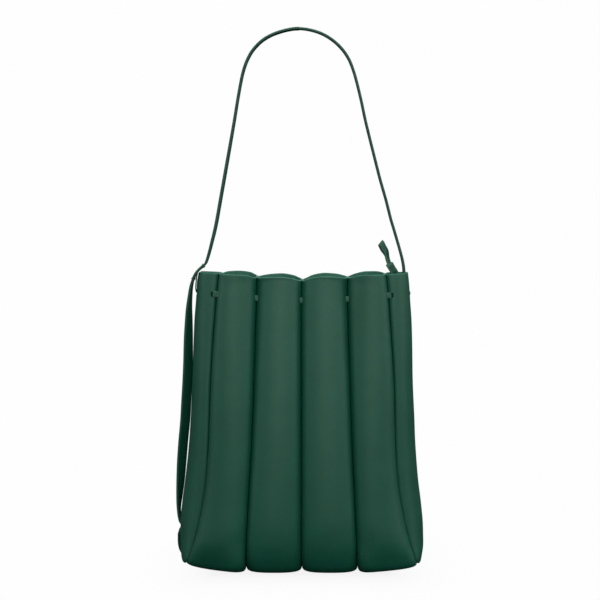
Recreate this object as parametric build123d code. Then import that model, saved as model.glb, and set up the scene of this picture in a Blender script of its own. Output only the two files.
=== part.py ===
from build123d import *
import math
import os

# Bucket bag in smooth leather: two fluted walls, two single-flute gussets, a
# rounded bottom tray, a flat drawstring lace, and a narrow shoulder strap.
# Frame: millimetres, +Z up, -Y is the front wall, -X is left, origin at the
# middle of the bottom face that rests on the ground.

# ------------------------------------------------------------------ dimensions
LEATHER = 1.5              # wall leather thickness
FIN = 3.0                  # depth of the pinched fin behind each groove
FLUTE_BULGE = 14.0         # how far a flute stands out from its two grooves
FLUTE_POWER = 0.92         # fullness of a wall flute: below 1 is squarer
GUSSET_POWER = 0.8         # fullness of a gusset's flute
CUSP = 0.35                # half width of a groove at its deepest line
SEAM_GAP = 0.45            # half gap between a wall edge and its gusset edge
WALL_TOP = 304.0           # raw height before the rim line is cut

TRAY_TOP = 16.0            # tray height, and the radius of its rounded bottom edge
JOIN_GAP = 0.3             # gap between the tray and the gussets
FOLD_GAP = 2.0             # gap between the tray and each wall, where the wall folds outwards
TRAY_HALF_LENGTH = 123.0   # half sizes that set how the tray shrinks round its edge
TRAY_HALF_WIDTH = 60.0
EDGE_PULL = 0.9            # share of the full round taken by the tray's edge
TRAY_INNER_DROP = 0.6      # the tray's inner skin follows the round this much lower

BOARD_T = 2.4              # bottom stiffener thickness
BOARD_LIFT = 1.9           # underside of the stiffener above the ground
BOARD_EDGE_LIFT = 0.6      # height on the tray's round that gives the board's outline
BOARD_INSET = 5.0          # board outline inside the tray's outer surface

LACE_H, LACE_T = 6.0, 1.5  # drawstring lace height and thickness
LACE_Z = 274.0             # height of the lace centre line
SLOT_H, SLOT_W = 8.0, 2.6  # lace slot height and width

STRAP_W, STRAP_T = 12.0, 2.0    # shoulder strap width and thickness
STRAP_PIVOT_Z = 309.0      # height of the line the strap swings about
SWING_GAP = 0.3            # clearance under the swinging strap's round ends
STRAP_SLOT_HALF = STRAP_W / 2 + 0.8     # half width of every slot for the strap
WOVEN_SLOT_T = 3.4         # slot thickness round the woven end

# Half spacing of the outer grooves, the side seams and the gusset crests,
# each as (height, half spacing).
GROOVE_X = [
    (0, 55.0), (13, 54.9), (38, 54.2), (57, 53.4), (77, 52.4), (97, 51.3),
    (116, 50.3), (135, 49.5), (155, 48.8), (174, 48.0), (194, 47.4), (213, 46.7),
    (232, 46.1), (252, 45.6), (266, 45.1), (293, 44.8), (310, 44.6)]
SEAM_X = [
    (0, 115.0), (13.5, 113.4), (20, 111.1), (36, 106.7), (56, 101.6), (76, 97.6),
    (95, 95.0), (115, 93.3), (135, 92.2), (154, 91.5), (174, 90.8), (194, 90.0),
    (213, 88.9), (233, 87.6), (252, 86.2), (267, 85.2), (282, 84.1), (296, 82.7),
    (310, 81.6)]
CREST_X_RIGHT = [
    (0, 123.2), (12, 123.6), (25, 123.9), (37, 123.7), (55, 122.6), (67, 121.4),
    (86, 118.8), (107, 116.8), (127, 115.3), (148, 114.1), (168, 112.8), (189, 111.6),
    (209, 110.9), (230, 110.2), (250, 109.2), (270, 107.8), (280, 107.2), (290, 106.5),
    (298, 105.6), (310, 104.6)]
CREST_X_LEFT = [
    (0, 123.2), (12, 123.6), (25, 123.6), (37, 123.2), (55, 122.2), (67, 120.8),
    (86, 118.2), (107, 115.6), (127, 113.6), (148, 112.0), (168, 110.9), (189, 109.8),
    (209, 109.0), (230, 108.2), (250, 107.2), (262, 106.4), (276, 105.8), (286, 105.5),
    (291, 104.9), (295, 103.8), (299, 102.0), (310, 98.0)]
CENTRE_GROOVE_X = -0.4

# Heights of the wall and gusset sections above the lowest one.
SECTION_Z = [40, 75, 115, 160, 205, 245, 275, WALL_TOP]

# Angles round a flute, in degrees, from one foot to the other.
FLUTE_ANGLES = [0, 10, 24, 44, 67, 90, 113, 136, 156, 170, 180]

# Cut rim across the bag's width, (x, height).
RIM_LINE = [
    (-135, 300.4), (-118, 299.6), (-102, 298.6), (-92, 297.4), (-82.7, 297.0),
    (-64, 297.2), (-54, 296.0), (-45, 293.0), (-34, 294.0), (-22, 294.6), (-10, 293.0),
    (0, 290.0), (10, 293.2), (22, 295.0), (34, 294.4), (45, 292.9), (54, 295.6),
    (64, 297.0), (82.7, 296.5), (92, 296.8), (106, 297.4), (120, 298.0), (135, 298.6)]

# Lace centre lines seen from above, (x, y): the right half of the front run,
# and the front halves of the runs inside the two gussets (left one mirrored).
LACE_FRONT_HALF = [(0, -16.0), (45, -16.6), (72, -20.0), (85.2, -21.6), (88.4, -19.8)]
LACE_LEFT_HALF = [(89.6, -18.6), (93.0, -14.0), (94.6, -9.0), (95.2, 0.0)]
LACE_RIGHT_FRONT = [(89.6, -18.6), (92.6, -14.0), (91.6, -9.0), (89.0, -5.2)]

# Centre line of the swinging strap seen from the front, (x, z), left to right.
STRAP_LINE = [
    (-96.6, 302.6), (-95.6, 306.4),
    (-94.5, 310.1), (-91.5, 320.1), (-88.9, 330.1), (-86.4, 340.0), (-84.3, 350.0),
    (-80.7, 369.8), (-77.1, 389.5), (-73.5, 409.2), (-69.9, 428.8), (-66.4, 448.3),
    (-63.1, 467.8), (-59.4, 487.2), (-57.0, 496.9), (-53.4, 506.5), (-47.6, 516.2),
    (-37.7, 525.8), (-24.0, 533.0), (-3.5, 536.8), (16.5, 533.4), (29.9, 525.8),
    (40.2, 516.2), (46.6, 506.5), (50.5, 496.9), (53.5, 487.2), (58.4, 467.8),
    (62.7, 448.3), (67.6, 428.8), (72.7, 409.2), (77.9, 389.5), (83.7, 369.8),
    (88.9, 350.0), (92.0, 340.0), (95.0, 330.1), (97.6, 320.1), (99.7, 310.1),
    (100.2, 306.4), (100.5, 302.6)]

# Outside run of the strap down the left gusset: (x, z, turn of its width in degrees).
RUN_LINE = [
    (-95.1, 308.2, 0), (-97.6, 304.2, 0), (-101.9, 300.9, 0), (-105.6, 297.0, 0),
    (-108.6, 291.0, 0), (-111.0, 281.5, 6), (-112.9, 269.0, 16), (-113.9, 250.0, 30),
    (-114.5, 230.0, 38), (-115.3, 209.0, 40), (-116.3, 189.0, 40), (-117.6, 168.0, 40),
    (-119.2, 148.0, 40), (-121.0, 127.0, 40), (-122.9, 107.0, 38), (-124.6, 86.0, 32),
    (-125.6, 68.0, 20), (-125.5, 58.0, 8), (-124.7, 51.0, 0)]
RUN_POINTS = [(x, z) for x, z, turn in RUN_LINE]
RUN_END_HEADING = (0.10, -0.995)        # (x, z) direction of the run at its last station

# Woven end below the outside run, (x, z), and the lines of its two slots.
WEAVE_LINE = [
    RUN_POINTS[-1], (-124.0, 46.6), (-121.4, 43.0), (-119.9, 40.0), (-121.4, 37.0),
    (-124.6, 33.4), (-125.6, 28.0), (-125.7, 21.0), (-125.0, 15.0), (-122.4, 10.8),
    (-118.6, 9.2)]
WEAVE_T = STRAP_T - 0.3
GUSSET_WEAVE_SLOT = [(-126.0, 45.5)] + WEAVE_LINE[2:5] + [(-126.4, 33.0)]
TRAY_WEAVE_SLOT = [(-126.4, 15.5), (-125.0, 12.6), (-122.4, 10.8), (-116.4, 9.2)]

# Fixed right end of the strap, (x, z), and the slot it leaves through.
RIGHT_END_LINE = [
    (100.6, 303.6), (100.5, 301.0), (100.2, 297.0), (99.6, 290.0), (100.0, 285.0),
    (102.2, 282.0), (105.2, 281.2), (108.6, 281.2)]
RIGHT_SLOT_LINE = [(101.0, 281.3), (104.0, 281.2), (107.0, 281.2), (109.0, 281.2)]
RIGHT_END_T = 1.8
RIGHT_SLOT_T = 2.8

# Keeper: its own line and the longer line of its passage, (x, z).
KEEPER_LINE = [(-96.9, 305.2)] + RUN_POINTS[1:5] + [(-108.9, 290.2)]
KEEPER_PASSAGE = RUN_POINTS[:5] + [(-109.9, 286.0)]
KEEPER_PLAY = 0.15         # clearance round the strap, each side
KEEPER_WALL = 0.9
PASSAGE_T = STRAP_T + 2 * KEEPER_PLAY
KEEPER_T = PASSAGE_T + 2 * KEEPER_WALL
KEEPER_HALF = STRAP_W / 2 + 1.1
KEEPER_CLEAR_HALF = STRAP_W / 2 + 1.6

# Tab from the keeper to the left gusset, (x, z).
TAB_LINE = [
    (-106.3, 293.2), (-107.2, 288.4), (-107.2, 283.4), (-106.0, 279.4), (-103.0, 276.8),
    (-101.2, 276.2)]

# Drawstring loop and slider, in the plane y = 0, by the right gusset.
TAIL_FOOT = (92.8, 299.0)
TAIL_TIP = (81.6, 322.4)
TAIL_BELOW = 15.0          # length of the loop's strands below the foot point
STRAND_OFFSET = 0.85       # each strand's centre from the middle of the pair
LOWER_SPREAD = 1.02        # factor on that offset where the strands hang upright
RING_CENTRE = 24.6         # end ring's centre, along the tail from its foot
RING_RADII = (6.0, 3.3)    # end ring's outer half sizes, along and across the tail
SLIDER_START = 1.0         # slider's lower end, along the tail from its foot
SLIDER_LEN = 10.0
SLIDER_WALL = 0.8
SLIDER_PLAY = 0.1

# Seam stitching.
THREAD_R = 0.35
STITCH_PITCH = 12.0
STITCH_LEN = 8.0
THREAD_Z = [30, 60, 90, 125, 160, 195, 230, 250, 266]


# ------------------------------------------------------------- outline helpers
def interpolate(table, z):
    """Value at height z in a table of (height, value) that spans z."""
    for (z0, v0), (z1, v1) in zip(table, table[1:]):
        if z <= z1:
            return v0 + (v1 - v0) * (z - z0) / (z1 - z0)


def taper(z, height):
    """Falls from 1 on the ground to 0 at the given height and above."""
    return 1.0 - min(1.0, z / height) ** 1.5


def seam_y(z):
    """Distance of the side seams from the middle plane."""
    return 13.0 + 29.0 * taper(z, 297.0)


def groove_y(z):
    """Distance of the wall grooves from the middle plane."""
    return 6.0 + 44.0 * taper(z, 290.0)


def front_feet(z):
    """Foot points of the front wall's seams and grooves at height z, left to right."""
    seam, groove = interpolate(SEAM_X, z), interpolate(GROOVE_X, z)
    at_seam, at_groove = -seam_y(z), -groove_y(z)
    return [(-seam, at_seam), (-groove, at_groove), (CENTRE_GROOVE_X, at_groove),
            (groove, at_groove), (seam, at_seam)]


def unit_arch(power):
    """Arch from (-1, 0) over (0, 1) to (1, 0), as (along, outwards) points."""
    points = []
    for angle in FLUTE_ANGLES:
        turn = math.radians(angle)
        out = math.sin(turn) ** power if angle not in (0, 180) else 0.0
        points.append((-math.cos(turn), out))
    return points


def flute_arch(start, end, skin):
    """Front flute between two feet, skin millimetres inside the outer surface."""
    (x0, y0), (x1, y1) = start, end
    length = math.dist(start, end)
    ux, uy = (x1 - x0) / length, (y1 - y0) / length
    mid_x, mid_y = (x0 + x1) / 2, (y0 + y1) / 2
    half = length / 2 - CUSP - skin
    height = FLUTE_BULGE - skin
    return [(mid_x + ux * along * half + uy * out * height,
             mid_y + uy * along * half - ux * out * height)
            for along, out in unit_arch(FLUTE_POWER)]


def at_height(points, z):
    return [(x, y, z) for x, y in points]


def line_chain(points):
    return [Line(a, b) for a, b in zip(points, points[1:])]


def heading(points, i):
    """Vector from the point before point i to the one after it."""
    x0, z0 = points[max(0, i - 1)]
    x1, z1 = points[min(len(points) - 1, i + 1)]
    return x1 - x0, z1 - z0


# --------------------------------------------------------------- solid helpers
def along_y(face, half):
    return extrude(face, amount=half, dir=(0, 1, 0), both=True)


def curved_strip(points, thickness, half_width):
    """Smooth strip along (x, z) points, its width along Y."""
    left, right = [], []
    for i, (x, z) in enumerate(points):
        dx, dz = heading(points, i)
        k = thickness / 2 / math.hypot(dx, dz)
        left.append((x - dz * k, 0, z + dx * k))
        right.append((x + dz * k, 0, z - dx * k))
    face = Face(Wire([Spline(*left), Line(left[-1], right[-1]),
                      Spline(*reversed(right)), Line(right[0], left[0])]))
    return along_y(face, half_width)


def mitred_ring(points, thickness):
    """Closed ring of points round a polyline, with mitred corners."""
    headings = []
    for a, b in zip(points, points[1:]):
        length = math.dist(a, b)
        headings.append(((b[0] - a[0]) / length, (b[1] - a[1]) / length))
    left, right = [], []
    for i, (x, y) in enumerate(points):
        before = headings[max(0, i - 1)]
        after = headings[min(i, len(headings) - 1)]
        tx, ty = before[0] + after[0], before[1] + after[1]
        size = math.hypot(tx, ty)
        tx, ty = tx / size, ty / size
        k = thickness / 2 / (tx * before[0] + ty * before[1])
        left.append((x - ty * k, y + tx * k))
        right.append((x + ty * k, y - tx * k))
    return left + right[::-1] + left[:1]


def straight_strip(points, thickness, half_width):
    """Strip of straight runs along (x, z) points, its width along Y."""
    ring = [(x, 0.0, z) for x, z in mitred_ring(points, thickness)]
    return along_y(Face(Wire(line_chain(ring))), half_width)


def lace_ribbon(points, thickness, height):
    """Upright ribbon along (x, y) points, centred on the lace's height."""
    ring = at_height(mitred_ring(points, thickness), LACE_Z - height / 2)
    return extrude(Face(Wire(line_chain(ring))), amount=height, dir=(0, 0, 1))


def lace_run(points):
    return lace_ribbon(points, LACE_T, LACE_H)


def lace_slot(points):
    return lace_ribbon(points, SLOT_W, SLOT_H)


def block(x0, x1, y0, y1, z0, z1):
    return Pos((x0 + x1) / 2, (y0 + y1) / 2, (z0 + z1) / 2) * Box(x1 - x0, y1 - y0, z1 - z0)


def mirrored(shape):
    """The same shape on the other side, front to back."""
    return shape.mirror(Plane.XZ)


# --------------------------------------------------------------- cutting tools
def above_rim_tool():
    """Everything above the rim line."""
    half_length, half_width, top = 135, 120, 330
    rim = [(x, -half_width, z) for x, z in RIM_LINE]
    lid = [rim[-1], (half_length, -half_width, top), (-half_length, -half_width, top), rim[0]]
    face = Face(Wire([Spline(*rim)] + line_chain(lid)))
    return extrude(face, amount=2 * half_width, dir=(0, 1, 0))


above_rim = above_rim_tool()

# Space swept by the strap's round ends, kept clear of the fixed parts.
swing_clear = block(-98.1, 130, -STRAP_W, STRAP_W,
                    STRAP_PIVOT_Z - STRAP_W / 2 - SWING_GAP, STRAP_PIVOT_Z + 20)

# Clearance in the left gusset round the keeper.
keeper_clear = curved_strip(KEEPER_LINE, KEEPER_T + 0.8, KEEPER_CLEAR_HALF)

# The front run passes in front of the grooves and behind the flute crests.
lace_front_line = [(-x, y) for x, y in reversed(LACE_FRONT_HALF)] + LACE_FRONT_HALF[1:]
lace_left_line = ([(-x, y) for x, y in LACE_LEFT_HALF]
                  + [(-x, -y) for x, y in reversed(LACE_LEFT_HALF[:-1])])


# ---------------------------------------------------------------- fluted walls
def flute_face(z, i):
    """Cross-section of front flute i at height z, with half of each fin."""
    feet = front_feet(z)
    feet[0] = (feet[0][0] + SEAM_GAP, feet[0][1])
    feet[-1] = (feet[-1][0] - SEAM_GAP, feet[-1][1])
    start, end = feet[i], feet[i + 1]
    outer = flute_arch(start, end, 0.0)
    inner = flute_arch(start, end, LEATHER)
    start_fin_y, end_fin_y = start[1] + FIN, end[1] + FIN
    end_fin = [outer[-1], end, (end[0], end_fin_y), (inner[-1][0], end_fin_y), inner[-1]]
    start_fin = [inner[0], (inner[0][0], start_fin_y), (start[0], start_fin_y), start, outer[0]]
    edges = [Spline(*at_height(outer, z))]
    edges += line_chain(at_height(end_fin, z))
    edges.append(Spline(*at_height(inner[::-1], z)))
    edges += line_chain(at_height(start_fin, z))
    return Face(Wire(edges))


def front_panel():
    """Four flutes joined along their pinched fins."""
    levels = [TRAY_TOP + FOLD_GAP] + SECTION_Z
    flutes = [loft([flute_face(z, i) for z in levels], ruled=True) for i in range(4)]
    wall = flutes[0]
    for flute in flutes[1:]:
        wall = wall + flute
    wall = wall - above_rim
    return wall - lace_slot(lace_front_line)


# --------------------------------------------------------------------- gussets
def gusset_points(z, hand, inset):
    """Gusset outline at height z; hand is -1 for left, +1 for right."""
    seam = interpolate(SEAM_X, z) + SEAM_GAP
    crest = interpolate(CREST_X_RIGHT if hand > 0 else CREST_X_LEFT, z)
    half = seam_y(z) - inset
    return [(hand * (seam + out * (crest - seam - inset)), along * half)
            for along, out in unit_arch(GUSSET_POWER)]


def gusset_face(z, hand):
    outer = at_height(gusset_points(z, hand, 0.0), z)
    inner = at_height(gusset_points(z, hand, LEATHER), z)
    return Face(Wire([Spline(*outer), Line(outer[-1], inner[-1]),
                      Spline(*reversed(inner)), Line(inner[0], outer[0])]))


def plain_gusset(hand):
    levels = [TRAY_TOP + JOIN_GAP] + SECTION_Z
    return loft([gusset_face(z, hand) for z in levels], ruled=True) - above_rim


def left_gusset():
    """Slotted for the lace, the woven strap end, the keeper and its tab."""
    gusset = plain_gusset(-1) - lace_slot(lace_left_line)
    gusset = gusset - curved_strip(GUSSET_WEAVE_SLOT, WOVEN_SLOT_T, STRAP_SLOT_HALF)
    gusset = gusset - keeper_clear
    return gusset - curved_strip(TAB_LINE, 1.7, 4.0)


def right_gusset():
    """Slotted for the lace and the strap's fixed end, with a spare slot low down."""
    slot = lace_slot(LACE_RIGHT_FRONT)
    gusset = plain_gusset(1) - slot - mirrored(slot)
    gusset = gusset - curved_strip(RIGHT_SLOT_LINE, RIGHT_SLOT_T, STRAP_SLOT_HALF)
    return gusset - block(118, 128, -STRAP_SLOT_HALF, STRAP_SLOT_HALF, 40.6, 43.4)


# ----------------------------------------------------------------- bottom tray
def tray_face(z, lift, skin):
    """Section of the bottom tray at height z; lift is the height on its rounded
    edge, skin moves the outline inwards from the outer leather surface."""
    feet = front_feet(TRAY_TOP)
    seam = interpolate(SEAM_X, TRAY_TOP)
    bulge = interpolate(CREST_X_RIGHT, TRAY_TOP) - seam - skin
    half = seam_y(TRAY_TOP) - CUSP - skin
    front = [flute_arch(a, b, skin) for a, b in zip(feet, feet[1:])]
    side = [(seam + out * bulge, along * half) for along, out in unit_arch(GUSSET_POWER)]
    chains = front + [side]
    chains += [[(x, -y) for x, y in reversed(arch)] for arch in reversed(front)]
    chains.append([(-x, -y) for x, y in side])

    k = max(0.0, (TRAY_TOP - lift) / TRAY_TOP)
    pull = TRAY_TOP * (1.0 - math.sqrt(1.0 - k * k)) * EDGE_PULL
    scale_x, scale_y = 1.0 - pull / TRAY_HALF_LENGTH, 1.0 - pull / TRAY_HALF_WIDTH
    chains = [[(x * scale_x, y * scale_y, z) for x, y in chain] for chain in chains]
    edges = []
    for chain, following in zip(chains, chains[1:] + chains[:1]):
        edges.append(Spline(*chain))
        edges.append(Line(chain[-1], following[0]))
    return Face(Wire(edges))


def base_panel():
    outer_levels = [0.0, 1.0, 3.0, 6.5, 11.0, TRAY_TOP]
    inner_levels = [LEATHER, 2.6, 4.4, 7.5, 11.5, TRAY_TOP + 1]
    outer = loft([tray_face(z, z, 0.0) for z in outer_levels], ruled=True)
    inner = loft([tray_face(z, z - TRAY_INNER_DROP, LEATHER) for z in inner_levels], ruled=True)
    tray = outer - inner
    tray = tray - block(-140, 140, -80, 80, TRAY_TOP, TRAY_TOP + 10)
    return tray - curved_strip(TRAY_WEAVE_SLOT, WOVEN_SLOT_T, STRAP_SLOT_HALF)


def base_board():
    outline = tray_face(BOARD_LIFT, BOARD_EDGE_LIFT, BOARD_INSET)
    return extrude(outline, amount=BOARD_T, dir=(0, 0, 1))


# -------------------------------------------------------------- shoulder strap
def shoulder_strap():
    """Swinging part; each end is a half round about the pivot line."""
    pivot_round = Pos(0, 0, STRAP_PIVOT_Z) * Rot(0, 90, 0) * Cylinder(STRAP_W / 2, 280)
    above_pivot = block(-140, 140, -STRAP_W, STRAP_W, STRAP_PIVOT_Z, STRAP_PIVOT_Z + 300)
    return curved_strip(STRAP_LINE, STRAP_T, STRAP_W / 2) & (above_pivot + pivot_round)


def strap_right_end():
    """Drops inside the right gusset and turns out through a slot."""
    return curved_strip(RIGHT_END_LINE, RIGHT_END_T, STRAP_W / 2) - swing_clear


def strap_right_stop():
    """Upright plate outside the right gusset, holed for the strap's end."""
    plate = straight_strip([(109.2, 278.2), (109.2, 284.6)], 1.6, 7.2)
    return plate - straight_strip([(108.0, 281.2), (111.0, 281.2)], 2.2, STRAP_W / 2 + 0.2)


def strap_lower_run():
    """Hangs down the left gusset with a slight turn, then weaves through the
    gusset's and the tray's slots."""
    stations = []
    for i, (x, z, turn) in enumerate(RUN_LINE):
        dx, dz = RUN_END_HEADING if i == len(RUN_LINE) - 1 else heading(RUN_POINTS, i)
        plane = Plane(origin=(x, 0, z), x_dir=(0, 1, 0), z_dir=Vector(dx, 0, dz))
        section = plane.rotated((0, 0, turn)) * Rectangle(STRAP_W, STRAP_T)
        stations.append(section.face())
    return loft(stations) + curved_strip(WEAVE_LINE, WEAVE_T, STRAP_W / 2) - swing_clear


def strap_keeper():
    """Leather sleeve on the rim that the strap passes through."""
    sleeve = curved_strip(KEEPER_LINE, KEEPER_T, KEEPER_HALF)
    passage = curved_strip(KEEPER_PASSAGE, PASSAGE_T, STRAP_W / 2 + KEEPER_PLAY)
    return sleeve - passage - swing_clear


def keeper_tab():
    """Thin strip from the keeper down to a slot in the left gusset."""
    clearance = curved_strip(KEEPER_LINE, KEEPER_T + 0.1, KEEPER_CLEAR_HALF)
    return curved_strip(TAB_LINE, 1.0, 3.5) - clearance


def keeper_tab_bar():
    """Cross bar inside the gusset that stops the tab from pulling out."""
    return straight_strip([(-100.2, 273.4), (-100.2, 279.0)], 1.4, 5.0)


# -------------------------------------------------- drawstring loop and slider
tail_length = math.dist(TAIL_FOOT, TAIL_TIP)
tail_x = (TAIL_TIP[0] - TAIL_FOOT[0]) / tail_length
tail_z = (TAIL_TIP[1] - TAIL_FOOT[1]) / tail_length


def tail_point(along, across):
    """(x, z) of a point along the tail from its foot and across it to the right."""
    return (TAIL_FOOT[0] + tail_x * along + tail_z * across,
            TAIL_FOOT[1] + tail_z * along - tail_x * across)


def tail_strand(offset):
    lower_x = TAIL_FOOT[0] + offset * LOWER_SPREAD
    points = [(lower_x, TAIL_FOOT[1] - TAIL_BELOW), (lower_x, TAIL_FOOT[1] - 5.0),
              tail_point(-0.2, offset), tail_point(12.0, offset), tail_point(20.0, offset)]
    return straight_strip(points, LACE_T, LACE_H / 2)


def drawstring_loop():
    """Two strands side by side, closed by an oval ring at the top."""
    x, z = tail_point(RING_CENTRE, 0)
    plane = Plane(origin=(x, 0, z), x_dir=(tail_x, 0, tail_z), z_dir=(0, -1, 0))
    long_radius, short_radius = RING_RADII
    oval = Ellipse(long_radius, short_radius) - Ellipse(long_radius - LACE_T,
                                                        short_radius - LACE_T)
    ring = extrude(plane * oval, amount=LACE_H / 2, both=True)
    return tail_strand(-STRAND_OFFSET) + tail_strand(STRAND_OFFSET) + ring


def cord_slider():
    """Sleeve round both strands."""
    slider_end = SLIDER_START + SLIDER_LEN
    opening = 2 * STRAND_OFFSET + LACE_T + 2 * SLIDER_PLAY
    opening_half = LACE_H / 2 + SLIDER_PLAY
    sleeve = straight_strip([tail_point(SLIDER_START, 0), tail_point(slider_end, 0)],
                            opening + 2 * SLIDER_WALL, opening_half + SLIDER_WALL)
    hole_line = [tail_point(SLIDER_START - 2, 0), tail_point(slider_end + 1, 0)]
    return sleeve - straight_strip(hole_line, opening, opening_half)


# -------------------------------------------------------------- seam stitching
# Rows of thread inside the bag: one beside each of a wall's three inner fins,
# and one along each edge of a gusset.
def thread_row(place):
    """Short round stitches; place gives the row's (x, y) at a height."""
    table_x = [(z, place(z)[0]) for z in THREAD_Z]
    table_y = [(z, place(z)[1]) for z in THREAD_Z]

    def point(z):
        return Vector(interpolate(table_x, z), interpolate(table_y, z), z)

    stitches = []
    z = THREAD_Z[0]
    while z + STITCH_LEN < THREAD_Z[-1]:
        start = point(z)
        run = point(z + STITCH_LEN) - start
        profile = Plane(origin=start, z_dir=run) * Circle(THREAD_R)
        stitches.append(extrude(profile, amount=run.length))
        z += STITCH_PITCH
    return stitches


def groove_row(index):
    def place(z):
        x, y = front_feet(z)[index]
        return x + CUSP + LEATHER + 0.42, y + FIN - 1.0
    return thread_row(place)


def seam_rows(hand):
    """Front and back rows of one gusset; hand is -1 for left, +1 for right."""
    def place(z):
        seam = interpolate(SEAM_X, z)
        bulge = max(1.0, interpolate(CREST_X_RIGHT, z) - seam)
        x = hand * (seam + SEAM_GAP + 2.6)
        y = LEATHER - seam_y(z) + 0.5 + 2.6 * (seam_y(z) / bulge) ** 0.2
        return x, y
    row = thread_row(place)
    return Compound(children=row + [mirrored(stitch) for stitch in row])


# ---------------------------------------------------------------------- pieces
front = front_panel()
lace_front = lace_run(lace_front_line)
lace_right = lace_run(LACE_RIGHT_FRONT)
pleat_threads = groove_row(1) + groove_row(2) + groove_row(3)

pieces = {
    "front_panel": front,
    "back_panel": mirrored(front),
    "left_gusset": left_gusset(),
    "right_gusset": right_gusset(),
    "base_panel": base_panel(),
    "base_board": base_board(),
    "drawstring_front_run": lace_front,
    "drawstring_back_run": mirrored(lace_front),
    "drawstring_left_run": lace_run(lace_left_line),
    "drawstring_right_front_run": lace_right,
    "drawstring_right_back_run": mirrored(lace_right),
    "drawstring_loop": drawstring_loop(),
    "cord_slider": cord_slider(),
    "shoulder_strap": shoulder_strap(),
    "strap_right_end": strap_right_end(),
    "strap_right_stop": strap_right_stop(),
    "strap_lower_run": strap_lower_run(),
    "strap_keeper": strap_keeper(),
    "keeper_tab": keeper_tab(),
    "keeper_tab_bar": keeper_tab_bar(),
    "front_pleat_stitching": Compound(children=pleat_threads),
    "back_pleat_stitching": Compound(children=[mirrored(t) for t in pleat_threads]),
    "left_seam_stitching": seam_rows(-1),
    "right_seam_stitching": seam_rows(1),
}

os.makedirs("parts", exist_ok=True)
for name, shape in pieces.items():
    export_step(shape, "parts/" + name + ".step")
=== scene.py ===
"""A fluted leather bag with a lace run through its top and one shoulder strap.

The bag stands on z = 0, centred on x = y = 0. Its front faces -Y and its right
side is +X. Sizes are in millimetres and meshes are scaled to metres; materials,
lights, floor and camera are in metres. Each wall is built as the front one and
mirrored for the back. Grid rows run from the rim down and under the base to y = 0.
"""
import math

import bmesh
import bpy
import numpy as np
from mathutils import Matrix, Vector


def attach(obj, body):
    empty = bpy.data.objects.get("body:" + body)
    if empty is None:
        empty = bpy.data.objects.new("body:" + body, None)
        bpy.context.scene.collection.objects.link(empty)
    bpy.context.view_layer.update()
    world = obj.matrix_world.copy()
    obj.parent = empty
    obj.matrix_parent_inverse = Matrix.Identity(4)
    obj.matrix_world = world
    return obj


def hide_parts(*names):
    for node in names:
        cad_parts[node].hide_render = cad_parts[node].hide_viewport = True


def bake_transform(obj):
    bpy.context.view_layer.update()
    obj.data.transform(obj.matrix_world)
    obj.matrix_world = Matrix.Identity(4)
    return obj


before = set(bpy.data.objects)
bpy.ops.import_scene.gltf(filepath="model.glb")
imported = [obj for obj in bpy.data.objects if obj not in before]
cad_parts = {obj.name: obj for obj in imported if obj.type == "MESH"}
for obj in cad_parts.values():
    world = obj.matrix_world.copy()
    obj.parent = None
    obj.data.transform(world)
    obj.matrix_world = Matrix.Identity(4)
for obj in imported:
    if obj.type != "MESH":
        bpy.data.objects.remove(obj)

MM = 0.001
LEFT, RIGHT = -1, 1
HANDS = ((LEFT, "left"), (RIGHT, "right"))
FRONT, BACK = -1, 1
SIDES = ((FRONT, "front"), (BACK, "back"))


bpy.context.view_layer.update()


# ---------------------------------------------------------------- small maths
def unit(v):
    v = np.asarray(v, float)
    return v / np.maximum(np.linalg.norm(v, axis=-1, keepdims=True), 1e-12)


def step(low, high, x):
    """Smooth change from 0 at low to 1 at high."""
    t = np.clip((np.asarray(x, float) - low) / (high - low), 0, 1)
    return t * t * (3 - 2 * t)


def hermite(t, start, end, start_slope, end_slope):
    return ((1 + 2 * t) * (1 - t) ** 2 * start + t * (1 - t) ** 2 * start_slope
            + t * t * (3 - 2 * t) * end + t * t * (t - 1) * end_slope)


def smooth_table(pairs):
    """Monotone cubic through (x, y) pairs, held level beyond both ends."""
    xs, ys = np.array(pairs, float).T
    gaps = np.diff(xs)
    rises = np.diff(ys) / gaps
    slopes = np.zeros_like(ys)
    slopes[0], slopes[-1] = rises[0], rises[-1]
    for i in range(1, len(xs) - 1):
        if rises[i - 1] * rises[i] > 0:
            before, after = 2 * gaps[i] + gaps[i - 1], gaps[i] + 2 * gaps[i - 1]
            slopes[i] = (before + after) / (before / rises[i - 1] + after / rises[i])

    def value(x):
        x = np.clip(np.asarray(x, float), xs[0], xs[-1])
        i = np.clip(np.searchsorted(xs, x) - 1, 0, len(gaps) - 1)
        return hermite((x - xs[i]) / gaps[i], ys[i], ys[i + 1],
                       gaps[i] * slopes[i], gaps[i] * slopes[i + 1])
    return value


def distances(path):
    """Length along the path at each of its points."""
    return np.concatenate([[0], np.cumsum(np.linalg.norm(np.diff(path, axis=0), axis=1))])


def interpolate(at, known, values):
    """Linear interpolation of every column of values."""
    return np.stack([np.interp(at, known, column) for column in values.T], -1)


def curve_through(points, count):
    """count evenly spaced points along a centripetal spline through points."""
    points = np.asarray(points, float)
    padded = np.vstack([2 * points[0] - points[1], points, 2 * points[-1] - points[-2]])
    t = np.linspace(0, 1, 24, endpoint=False)[:, None]
    samples = []
    for i in range(1, len(padded) - 2):
        p0, p1, p2, p3 = padded[i - 1:i + 3]
        d1, d2, d3 = (max(np.linalg.norm(b - a), 1e-6) ** 0.5
                      for a, b in ((p0, p1), (p1, p2), (p2, p3)))
        m1 = (p1 - p0) / d1 - (p2 - p0) / (d1 + d2) + (p2 - p1) / d2
        m2 = (p2 - p1) / d2 - (p3 - p1) / (d2 + d3) + (p3 - p2) / d3
        samples.append(hermite(t, p1, p2, m1 * d2, m2 * d2))
    samples = np.vstack(samples + [points[-1:]])
    along = distances(samples)
    return interpolate(np.linspace(0, along[-1], count), along, samples)


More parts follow.
